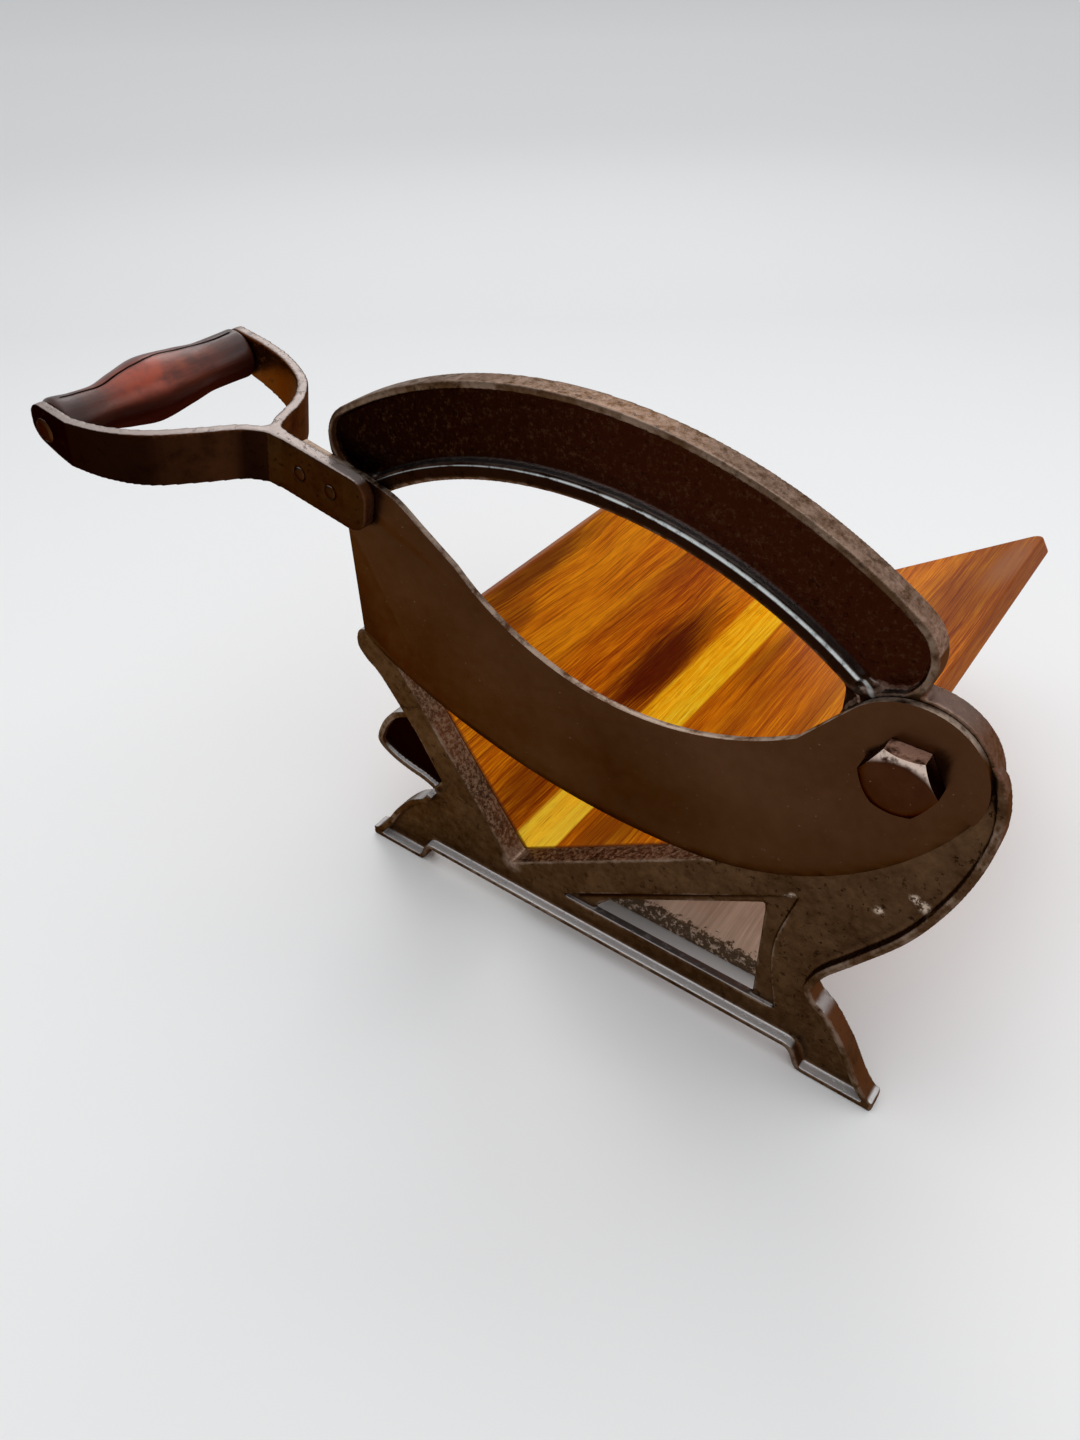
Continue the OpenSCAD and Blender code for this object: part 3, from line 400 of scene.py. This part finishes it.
def board_wood(name, seed, end, sap, sap_front, patches):
    """Amber varnished board, end wide: pale sapwood beside the valley, sap wide at the back and sap_front
    wide at the front, then streaked heartwood. Each patch on it is (across, along, half width,
    half length, strength, colour). Sizes are in millimetres."""
    m = Look(name, Specular_IOR_Level=0.05, Specular_Tint=AMBER["gleam"], Roughness=0.45)
    x, y, _ = m.axes()
    grain = grain_of(m, seed)
    broad = m.fibres(26, 3, 0.5, 0.12, grain)
    bands = m.fibres(210, 4, 0.6, 0.03, grain)
    streak = m.fibres(1300, 3, 0.7, 0.024, grain)
    pores = m.fibres(2200, 2, 0.5, 0.03, grain)
    lines = m.fibres(900, 3, 0.6, 0.016, grain)
    shade = m.blend((streak, 0.45), (broad, 0.25), (bands, 0.3))
    heart = m.layers(
        m.ramp(shade, (0.4, AMBER["dark"]), (0.5, AMBER["middle"]), (0.59, AMBER["light"])),
        (m.rise(broad, 0.5, 0.7, 0.35), AMBER["glow"]),
        (m.rise(lines, 0.53, 0.63, 0.55), AMBER["line"]))
    for across, along, half_width, half_length, strength, tint in patches:
        dx = m.times(m.minus(x, across / 1000), 1000 / half_width)
        dy = m.times(m.minus(y, along / 1000), 1000 / half_length)
        far = m.plus(m.length(dx, dy), m.times(m.minus(shade, 0.5), 1.9))
        heart = m.layers(heart, (m.rise(far, 1.28, 0.35, strength), tint))
    sapwood = m.layers(
        m.ramp(m.blend((bands, 0.45), (streak, 0.55)),
               (0.38, AMBER["sap_dark"]), (0.48, AMBER["sap_middle"]), (0.6, AMBER["sap_light"])),
        (m.rise(y, 0.11, 0.03, 0.5), AMBER["sap_front"]))
    width = m.plus(m.rise(y, 0.03, 0.14, (sap - sap_front) / 1000), sap_front / 1000)
    wobble = m.times(m.minus(m.fibres(24, 3, 0.5, 0.3), 0.5), 0.006)
    pale = m.rise(m.minus(m.plus(x, wobble), width), 0.0016, -0.0016)
    side, front, back = (size / 1000 for size in (end, BOARD_FRONT, BOARD_BACK))
    ends = m.most(m.rise(x, side - 0.0022, side - 0.0008), m.rise(y, back - 0.002, back),
                  m.rise(y, front + 0.002, front))
    m.set(Base_Color=m.layers(heart, (pale, sapwood),
                              (m.rise(pores, 0.55, 0.7, 0.45), AMBER["pore"]),
                              (m.times(ends, 0.7), AMBER["end"])))
    m.bump(m.minus(m.times(streak, 0.6), m.rise(pores, 0.56, 0.7)), 0.3, 0.0003)
    return m.mat


def bare_wood(name, low, high):
    """Dry wood, with the front end of the base board torn and dark."""
    m = Look(name, Specular_IOR_Level=0.15, Roughness=0.7)
    grain = grain_of(m, 3.0)
    bands, streak = m.fibres(70, 4, 0.6, 0.06, grain), m.fibres(640, 3, 0.6, 0.03, grain)
    torn = m.noise(260, 5, 0.75)
    start = at(0, BASE_FRONT, 0)[1] - 0.013
    front = m.rise(m.plus(m.axes()[1], m.times(torn, -0.03)), start + 0.0005, start - 0.001)
    m.set(Base_Color=m.layers(
        m.ramp(m.blend((bands, 0.6), (streak, 0.4)), (0.36, low), (0.62, high)),
        (m.rise(m.noise(22, 4, 0.6), 0.5, 0.66, 0.5), low),
        (m.times(front, m.rise(m.noise(700, 3, 0.7), 0.8, 0.58, 0.95)), TORN_WOOD)))
    m.bump(m.plus(streak, bands, m.times(front, torn, 4.0)), 0.5, 0.0005)
    return m.mat


def lacquer():
    """Red-brown lacquer, with a painted highlight glowing at the palm swell, nearly black underneath from
    painted shade, and nearly black at the ends.
    """
    m = Look("grip_wood", Coat_Roughness=0.25)
    y = m.axes()[1]
    nx, _, nz = m.axes(m.normal)
    grain = grain_of(m, 7.0)
    bands, streak = m.fibres(150, 3, 0.55, 0.08, grain), m.fibres(900, 3, 0.6, 0.03, grain)
    wear = m.noise(45, 4, 0.65)
    ends = m.rise(m.plus(m.distance(y), m.times(wear, 0.02)), 0.03, 0.056)
    # Painted highlight: a glow on the side that looks towards the light at the palm swell
    towards_light = m.rise(m.blend((nx, 0.72), (nz, 0.69)), 0.6, 0.95)
    glow = m.times(towards_light, m.rise(m.distance(y, -0.008), 0.024, 0.004), m.rise(wear, 0.38, 0.6))
    crack = m.rise(m.attribute("crack"), 0.1, 0.6)
    colour = m.layers(
        m.ramp(m.blend((bands, 0.6), (streak, 0.4)),
               (0.34, LACQUER["dark"]), (0.5, LACQUER["middle"]), (0.68, LACQUER["light"])),
        (m.times(ends, 0.8), LACQUER["end"]),
        (glow, LACQUER["glow"]),
        # Painted shade underneath
        (m.rise(nz, 0.4, -0.1, 0.85), LACQUER["under"]),
        (m.rise(wear, 0.54, 0.72, 0.5), LACQUER["worn"]),
        (crack, LACQUER["crack"]))
    sound = m.times(m.inverse(crack), m.rise(nz, -0.35, 0.2))
    m.set(Base_Color=colour, Roughness=m.plus(m.times(wear, 0.3), 0.22))
    m.set(Specular_IOR_Level=m.times(sound, 0.4), Coat_Weight=m.times(sound, 0.2))
    m.bump(m.minus(m.times(streak, 0.3), crack), 0.4, 0.0005)
    return m.mat


def leather():
    m = Look("disc_leather", Roughness=0.8)
    m.set(Base_Color=m.ramp(m.noise(80, 4), (0.3, LEATHER_DARK), (0.7, LEATHER_LIGHT)))
    m.bump(m.cells(900), 0.5, 0.0003)
    return m.mat


FRAME_IRON = cast_iron("frame_iron", dark=(0.04, 0.018, 0.008), body=(0.115, 0.06, 0.029),
                       bare_and_sheen=(0.66, 0.64, 0.64), rough=0.18)
FORK_IRON = cast_iron("fork_iron", dark=(0.024, 0.0075, 0.0022), body=(0.042, 0.0165, 0.005),
                      bare_and_sheen=(0.36, 0.3, 0.28), rough=0.14)
BLADE_STEEL = patina_steel("blade_steel", low=(0.05, 0.018, 0.006), high=(0.085, 0.037, 0.017),
                           bare_and_sheen=(0.36, 0.27, 0.21), rough=0.26)
BROWN_STEEL = patina_steel("brown_steel", low=(0.028, 0.007, 0.0022), high=(0.065, 0.022, 0.008),
                           bare_and_sheen=(0.62, 0.35, 0.25), rough=0.16)
PLAIN_STEEL = steel("plain_steel", low=(0.16, 0.12, 0.09), high=(0.36, 0.33, 0.3), rough=0.3)
LONG_WOOD = board_wood("long_board_wood", seed=0.0, end=LONG_W, sap=30, sap_front=21, patches=[
    (47, 205, 13, 42, 0.5, AMBER["heart"]),
    (52, 36, 26, 40, 0.6, AMBER["heart"]),
    (70, 150, 16, 60, 0.25, AMBER["heart"]),
    (120, 120, 9, 90, 0.3, AMBER["heart"]),
    (160, 250, 36, 100, 0.55, AMBER["heart"]),
    (170, 268, 12, 34, 0.6, AMBER["scuff"]),
])
SHORT_WOOD = board_wood("short_board_wood", seed=1.0, end=SHORT_W, sap=9.5, sap_front=9.5, patches=[
    (23, 172, 18, 80, 0.95, AMBER["heart"]),
    (25, 45, 16, 50, 0.6, AMBER["heart"]),
    (62, 200, 10, 80, 0.25, AMBER["heart"]),
    (114, 110, 9, 80, 0.8, AMBER["heart"]),
    (100, 84, 9, 22, 0.5, AMBER["heart"]),
])
BASE_WOOD = bare_wood("base_wood", low=(0.5, 0.34, 0.24), high=(0.8, 0.6, 0.46))
GRIP_WOOD = lacquer()
DISC_LEATHER = leather()


# Meshes

def add_object(name, data):
    obj = bpy.data.objects.new(name, data)
    scene.collection.objects.link(obj)
    return obj


def stand_in(name, mesh, material, node, body, place=Matrix()):
    """A piece that is drawn in place of a CAD node and moves with the node's body."""
    obj = add_object(name, mesh)
    obj.matrix_world = place
    mesh.materials.clear()
    mesh.materials.append(material)
    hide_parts(node)
    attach(obj, body)


def array(items, key, width, kind=float):
    """One property of all items of a mesh, with a row for each item."""
    out = np.empty(len(items) * width, kind)
    items.foreach_get(key, out)
    return out.reshape(-1, width)


def put(mesh, name, values):
    """Values from 0 to 1 on the points of a mesh, for its material to read."""
    values = np.clip(values, 0, 1).astype(np.float32)
    mesh.attributes.new(name, "FLOAT", "POINT").data.foreach_set("value", values)


def front_view(mesh):
    """Points of a mesh in millimetres in the front view, and their normals."""
    points = array(mesh.vertices, "co", 3) * 1000 - np.array(ORIGIN)
    return points, array(mesh.vertices, "normal", 3)


def convexity(mesh, rounds):
    """How far each point stands out of its smoothed surroundings, in metres."""
    count = len(mesh.vertices)
    start, normals = array(mesh.vertices, "co", 3), array(mesh.vertices, "normal", 3)
    a, b = array(mesh.edges, "vertices", 2, np.int32).T
    neighbours = np.maximum(np.bincount(np.concatenate([a, b]), minlength=count), 1)
    points = start
    for _ in range(rounds):
        sums = [np.bincount(a, axis[b], count) + np.bincount(b, axis[a], count) for axis in points.T]
        points = np.stack(sums, 1) / neighbours[:, None]
    return ((start - points) * normals).sum(1)


def softened(node, rounds):
    """The mesh of a CAD node, evened out and smoothed so that its edges are round like a casting's."""
    bm = bmesh.new()
    bm.from_mesh(nodes[node].data)
    bmesh.ops.remove_doubles(bm, verts=bm.verts, dist=1e-6)
    mesh = bpy.data.meshes.new(node + "_start")
    bm.to_mesh(mesh)
    bm.free()
    helper = add_object(node + "_start", mesh)
    even = helper.modifiers.new("even", "REMESH")
    even.mode, even.voxel_size = "VOXEL", VOXEL
    soft = helper.modifiers.new("soft", "SMOOTH")
    soft.factor, soft.iterations = 0.5, rounds
    bpy.context.view_layer.update()
    out = bpy.data.meshes.new_from_object(helper.evaluated_get(bpy.context.evaluated_depsgraph_get()))
    bpy.data.objects.remove(helper)
    out.name = node + "_casting"
    out.shade_smooth()
    return out


def step(value, low, high):
    """0 at low, 1 at high, smooth between them; low may be the larger."""
    t = np.clip((value - low) / (high - low), 0, 1)
    return t * t * (3 - 2 * t)


def near(points, spots):
    """1 around the middle of each spot (x, z, radius), falling to 0 at its radius."""
    x, _, z = points.T
    return sum(np.clip(1.6 - 1.6 * np.hypot(x - sx, z - sz) / r, 0, 1) for sx, sz, r in spots)


def distance_along(x, z, direction, start=(0, 0)):
    """How far (x, z) lies from start in a direction of the front view."""
    return (x - start[0]) * direction[0] + (z - start[1]) * direction[1]


def frame_masks(points, normals):
    """Where the frame is rough, worn, or given painted highlight or painted shade: by name, a value for
    each point.
    """
    x, y, z = points.T
    nx, ny, nz = normals.T
    ahead, upward = ny < -0.4, nz > 0.3

    # Arch: its sunken panel in painted shade, its back, pale with wear and painted highlight, its lower rim
    # in painted shade, and the painted highlight lines on that rim
    out = np.hypot(x - ARCH[0], z - ARCH[1])
    outward = distance_along(x, z, (nx, nz), ARCH) / out
    on_arch = (out > ARCH_R - 1) & (z > ARCH_FOOT)
    sunken = on_arch * step(y, FACE + 2, FACE + 3.4) * ahead
    # Back of the arch: pale, partly wear and partly painted highlight
    back_of_arch = on_arch * step(outward, 0.5, 0.85) * (out > ARCH_R + BAND - 4)
    # Painted shade on the face of the lower rim
    low_rim = on_arch * step(out, ARCH_R + 1, ARCH_R + 2.5) * (out < ARCH_R + LOWER_RIM + 2.5)
    low_rim = low_rim * step(x, *RIM_RIGHT)
    # Where the painted highlight lines on the lower rim may show
    lines = on_arch * (out < SILVER_R + 3) * step(x, *LINE_LEFT) * step(x, *LINE_RIGHT) * step(ny, 0.3, 0)

    # Throat, each side by the direction that it faces, and boss
    flange = np.zeros(len(x), bool)
    for up in (LONG_DIR, SHORT_DIR):
        flange |= (np.abs(distance_along(x, z, up, VALLEY)) < 2) & (distance_along(nx, nz, up) > 0.5)
    flange &= (y < FLANGE_DEPTH) & (z > VALLEY[1] - 3)
    corner = near(points, [(*VALLEY, 7)]) * (y < FLANGE_DEPTH)
    # The boss's top: a warm tone, a little painted shade, and some pale top colour that is painted
    # highlight
    boss = (np.hypot(x - PIVOT[0], z - PIVOT[1]) < BOSS_R) & upward

    # Hollows that lie dark in the photo
    # Painted shade in the scroll's hollow
    scroll = (x < SCROLL_RIGHT) & (z > SCROLL_LOW) & (z < SCROLL_HIGH) & (y > WEB_BACK - 1) & ahead
    aside = np.abs(x - WINDOW_MIDDLE)
    over = distance_along(x, z, (-STEP_DIR[1], STEP_DIR[0]), STEP_START)
    # Painted shade in the groove under the step over the window, and on the sill
    groove = (y > FACE + 0.5) * (y < WEB_BACK - 0.3) * (aside < GROOVE_HALF) * (nz < 0.5)
    groove = groove * step(over, -3.6, -1.6) * (over < 6)
    sill = (y > FACE + 0.3) * upward * (aside < SILL_HALF) * (np.abs(z - WINDOW_LOW) < 3)
    # Painted shadow in the notch between arch and boss
    notch = np.minimum(near(points, NOTCH), 1)
    return {
        "rough": flange,
        "top": np.maximum.reduce([back_of_arch, 0.35 * boss, corner]),
        "warm": 0.85 * boss,
        "silver_highlight": lines,
        "cast": sunken,
        "panel": sunken * step(x, *PANEL_DARKENS),
        # Painted shade: sunken panel, lower rim, scroll, groove, a little on the boss, sill and notch
        "shade": np.maximum.reduce([sunken, 0.92 * low_rim, scroll, 0.9 * groove, 0.3 * boss, 0.75 * sill,
                                    0.95 * notch]),
        "chip": near(points, FLAWS) * (ny < 0.2) * (y < FACE + 3),
    }


def dress_frame():
    """The frame's casting, with what its enamel needs to know of each point."""
    mesh = softened("frame", rounds=5)
    put(mesh, "edge", convexity(mesh, rounds=8) * 1000 / EDGE_HEIGHT)
    for name, values in frame_masks(*front_view(mesh)).items():
        put(mesh, name, values)
    stand_in("frame_casting", mesh, FRAME_IRON, "frame", "body")


def dress_fork():
    """The handle fork, with painted shade on its front and a painted warm glow inside its back arm."""
    mesh = softened("handle_fork", rounds=6)
    points, normals = front_view(mesh)
    x, y, _ = points.T
    ahead = step(normals[:, 1], -0.3, -0.7)
    # Painted shade on the fork's front, and a painted warm glow inside its back arm
    put(mesh, "shade", 0.92 * ahead * step(x, *FORK_DARKENS) * (y < GRIP[1]))
    put(mesh, "warm", 0.85 * ahead * step(x, *FORK_WARMS) * (y > GRIP[1] + 6))
    stand_in("handle_casting", mesh, FORK_IRON, "handle_fork", "blade_arm")


def board_outline(start, end):
    """A board seen from above, from start to end across the grain; its outer corners are round."""
    r, steps = BOARD_CORNER, 8
    outline = [(start, BOARD_FRONT)]
    for y, first in ((BOARD_FRONT + r, -90), (BOARD_BACK - r, 0)):
        angles = [math.radians(first + 90 * i / steps) for i in range(steps + 1)]
        outline += [(end - r + r * math.cos(a), y + r * math.sin(a)) for a in angles]
    return outline + [(start, BOARD_BACK)]


def dress_board(node, material, start, end, low, high, across, up):
    """A board in its own frame: x across from the valley, y along the grain, z up out of its face."""
    bm = bmesh.new()
    corners = [bm.verts.new((x / 1000, y / 1000, low / 1000)) for x, y in board_outline(start, end)]
    grown = bmesh.ops.extrude_face_region(bm, geom=[bm.faces.new(corners)])
    tops = [v for v in grown["geom"] if isinstance(v, bmesh.types.BMVert)]
    bmesh.ops.translate(bm, verts=tops, vec=(0, 0, (high - low) / 1000))
    sharp = [e for e in bm.edges if e.calc_face_angle(0) > 1.2 and max(v.co.x for v in e.verts) > 0.001]
    bmesh.ops.bevel(bm, geom=sharp, offset=BOARD_EASE / 1000, segments=3, profile=0.6, affect="EDGES")
    bmesh.ops.recalc_face_normals(bm, faces=bm.faces)
    mesh = bpy.data.meshes.new(node)
    bm.to_mesh(mesh)
    bm.free()
    for face in mesh.polygons:
        face.use_smooth = face.area < BROAD_FACE
    x, z = Vector((across[0], 0, across[1])), Vector((up[0], 0, up[1]))
    turned = Matrix((x, z.cross(x), z)).transposed().to_4x4()
    place = Matrix.Translation(at(VALLEY[0], 0, VALLEY[1])) @ turned
    stand_in(node + "_plank", mesh, material, node, "body", place)


def smooth_line(knots, places):
    """A smooth curve through the knots, without overshoot, read at the given places."""
    x, y = np.array(knots).T
    slope = np.diff(y) / np.diff(x)
    before, after = slope[:-1], slope[1:]
    inner = np.where(before * after > 0, 2 * before * after / (before + after + 1e-9), 0)
    tangent = np.concatenate([slope[:1], inner, slope[-1:]])
    i = np.clip(np.searchsorted(x, places) - 1, 0, len(slope) - 1)
    h = np.diff(x)[i]
    t = (places - x[i]) / h
    return (y[i] * (1 + 2 * t) * (1 - t) ** 2 + h * tangent[i] * t * (1 - t) ** 2
            + y[i + 1] * t * t * (3 - 2 * t) + h * tangent[i + 1] * t * t * (t - 1))


def grip_profile():
    """Places along the grip, as shares of its length from its middle, and the radius at each."""
    def from_neck(radius, share):
        return GRIP_NECK + (radius - GRIP_NECK) * share

    end, swell = GRIP_END, GRIP_SWELL
    knots = [
        (-0.5, end - 1.7), (-0.494, end - 0.8), (-0.48, end), (-0.39, from_neck(end, 0.3)),
        (-0.29, GRIP_NECK), (-0.17, from_neck(swell, 0.5)), (-0.03, swell),
        (0.15, from_neck(swell, 0.63)), (0.29, from_neck(swell, 0.28)),
        (0.42, from_neck(end, 0.9)), (0.48, end), (0.494, end - 0.8), (0.5, end - 1.7),
    ]
    places = np.concatenate([np.linspace(-0.5, -0.47, 8), np.linspace(-0.46, 0.46, 70),
                             np.linspace(0.47, 0.5, 8)])
    return places, smooth_line(knots, places)


def dress_grip():
    """The turned grip about its own axis, in rings from bore to bore, with a crack along its upper side."""
    places, radii = grip_profile()
    t, r = places[:, None], radii[:, None]
    angle = 2 * math.pi * np.arange(GRIP_TURNS) / GRIP_TURNS
    line = CRACK_ANGLE + 0.05 * np.sin(9 * t) + 0.03 * np.sin(31 * t)
    crack = np.maximum(1 - np.abs(angle - line) * r / CRACK_HALF, 0) * (np.abs(t) < CRACK_REACH)
    turned = r * (1 + 0.006 * np.sin(3 * angle + 7 * t)) - CRACK_DEPTH * crack

    bore = np.full((1, GRIP_TURNS), GRIP_BORE)
    turned = np.concatenate([bore, turned, bore])
    along = np.broadcast_to(np.concatenate([t[:1], t, t[-1:]]) * GRIP_LEN, turned.shape)
    points = np.stack([turned * np.cos(angle), along, turned * np.sin(angle)], 2).reshape(-1, 3) / 1000
    here = np.arange(GRIP_TURNS)
    beside = np.roll(here, -1)
    band = np.stack([here, here + GRIP_TURNS, beside + GRIP_TURNS, beside], 1)
    faces = np.concatenate([band + i * GRIP_TURNS for i in range(len(along) - 1)])
    mesh = bpy.data.meshes.new("grip_turned")
    mesh.from_pydata(points.tolist(), [], faces.tolist())
    mesh.shade_smooth()
    put(mesh, "crack", np.pad(crack, ((1, 1), (0, 0))).ravel())
    place = Matrix.Translation(at(*GRIP))
    stand_in("grip_turned", mesh, GRIP_WOOD, "grip", "grip_body", place)


def finish_node(node, material, bevel, segments):
    """A CAD node kept as it is, with its edges eased and a better material."""
    obj = nodes[node]
    obj.data.materials.clear()
    obj.data.materials.append(material)
    weld = obj.modifiers.new("weld", "WELD")
    weld.merge_threshold = 1e-6
    flat = obj.modifiers.new("flat", "DECIMATE")
    flat.decimate_type, flat.angle_limit = "DISSOLVE", math.radians(1)
    ease = obj.modifiers.new("ease", "BEVEL")
    ease.width, ease.segments = bevel / 1000, segments
    ease.limit_method, ease.angle_limit = "ANGLE", math.radians(32)
    ease.harden_normals = True
    obj.data.shade_smooth()


# Stage

def add_floor():
    """A pale floor, with a soft painted shade that changes from front to back."""
    m = Look("floor_pale", Roughness=0.6, Specular_IOR_Level=0.15)
    x, y, _ = m.axes()
    colour = m.ramp(m.blend((x, -0.19), (y, 0.25)), *FLOOR_SHADES)
    m.set(Base_Color=m.layers(colour, (m.rise(m.noise(1.3, 2), 0.3, 0.7, 0.03), (1, 1, 1))))
    mesh = bpy.data.meshes.new("floor")
    corners = [(sx * FLOOR_HALF, sy * FLOOR_HALF, -FLOOR_DROP)
               for sx, sy in ((-1, -1), (1, -1), (1, 1), (-1, 1))]
    mesh.from_pydata(corners, [], [(0, 1, 2, 3)])
    mesh.materials.append(m.mat)
    add_object("floor", mesh)


def add_lamp(name, place, target, size, power, spread=180):
    """A soft lamp that looks at its target: metres, watts, and the spread of its beam in degrees."""
    data = bpy.data.lights.new(name, "AREA")
    data.shape, data.energy, data.spread = "RECTANGLE", power, math.radians(spread)
    data.size, data.size_y = size
    obj = add_object(name, data)
    obj.location = place
    obj.rotation_euler = (Vector(target) - Vector(place)).to_track_quat("-Z", "Y").to_euler()


def add_world():
    world = bpy.data.worlds.new("studio")
    world.use_nodes = True
    scene.world = world
    background = world.node_tree.nodes["Background"]
    background.inputs["Color"].default_value = SKY
    background.inputs["Strength"].default_value = SKY_STRENGTH


def add_camera():
    """The photo's camera: turned left from the view along Y, then pitched down, then rolled."""
    turn, pitch, roll = (math.radians(v) for v in (CAMERA_TURN, CAMERA_PITCH, CAMERA_ROLL))
    look = Vector((-math.sin(turn) * math.cos(pitch), math.cos(turn) * math.cos(pitch), -math.sin(pitch)))
    right = Vector((math.cos(turn), math.sin(turn), 0))
    down = look.cross(right)
    x = right * math.cos(roll) + down * math.sin(roll)
    y = right * math.sin(roll) - down * math.cos(roll)
    data = bpy.data.cameras.new("camera")
    data.sensor_fit, data.sensor_height, data.lens = "VERTICAL", CAMERA_SENSOR, CAMERA_LENS
    obj = add_object("camera", data)
    obj.matrix_world = Matrix.Translation(at(*CAMERA_PLACE)) @ Matrix((x, y, -look)).transposed().to_4x4()
    scene.camera = obj


add_camera()
add_floor()
add_world()
add_lamp("ceiling", (-0.3, 0.3, 2.6), target=(-0.3, 0.3, 0), size=(3.2, 3.2), power=26)
add_lamp("back", (-1.0, 1.35, 1.5), target=(0, 0, 0.1), size=(1.3, 0.7), power=3, spread=110)
add_lamp("side", (1.7, 0.4, 0.9), target=(0, 0, 0.1), size=(1.2, 1.0), power=2, spread=120)

dress_frame()
dress_fork()
dress_grip()
dress_board("long_board", LONG_WOOD, start=-BOARD_T, end=LONG_W, low=-BOARD_T, high=0,
            across=LONG_DIR, up=SHORT_DIR)
dress_board("short_board", SHORT_WOOD, start=BOARD_GAP, end=SHORT_W, low=0, high=BOARD_T,
            across=SHORT_DIR, up=-LONG_DIR)

# CAD nodes that stay: material, width and segments of the eased edges, names
for material, bevel, segments, names in (
        (BLADE_STEEL, 0.35, 2, ["blade"]),
        (BROWN_STEEL, 1.0, 3, ["pivot_bolt", "pivot_nut"]),
        (FORK_IRON, 0.2, 2, ["handle_rivets", "grip_rod"]),
        (BASE_WOOD, 0.8, 2, ["base_board", "front_bearer", "rear_leg", "long_cleat", "short_cleat"]),
        (PLAIN_STEEL, 0.2, 2, ["pivot_sleeve", "flat_washer", "spring_washer", "valley_nails",
                               "long_board_screws", "short_board_screws", "base_screws", "cleat_screws",
                               "leg_screws"]),
        (DISC_LEATHER, 0.2, 2, ["friction_disc"])):
    for name in names:
        finish_node(name, material, bevel, segments)
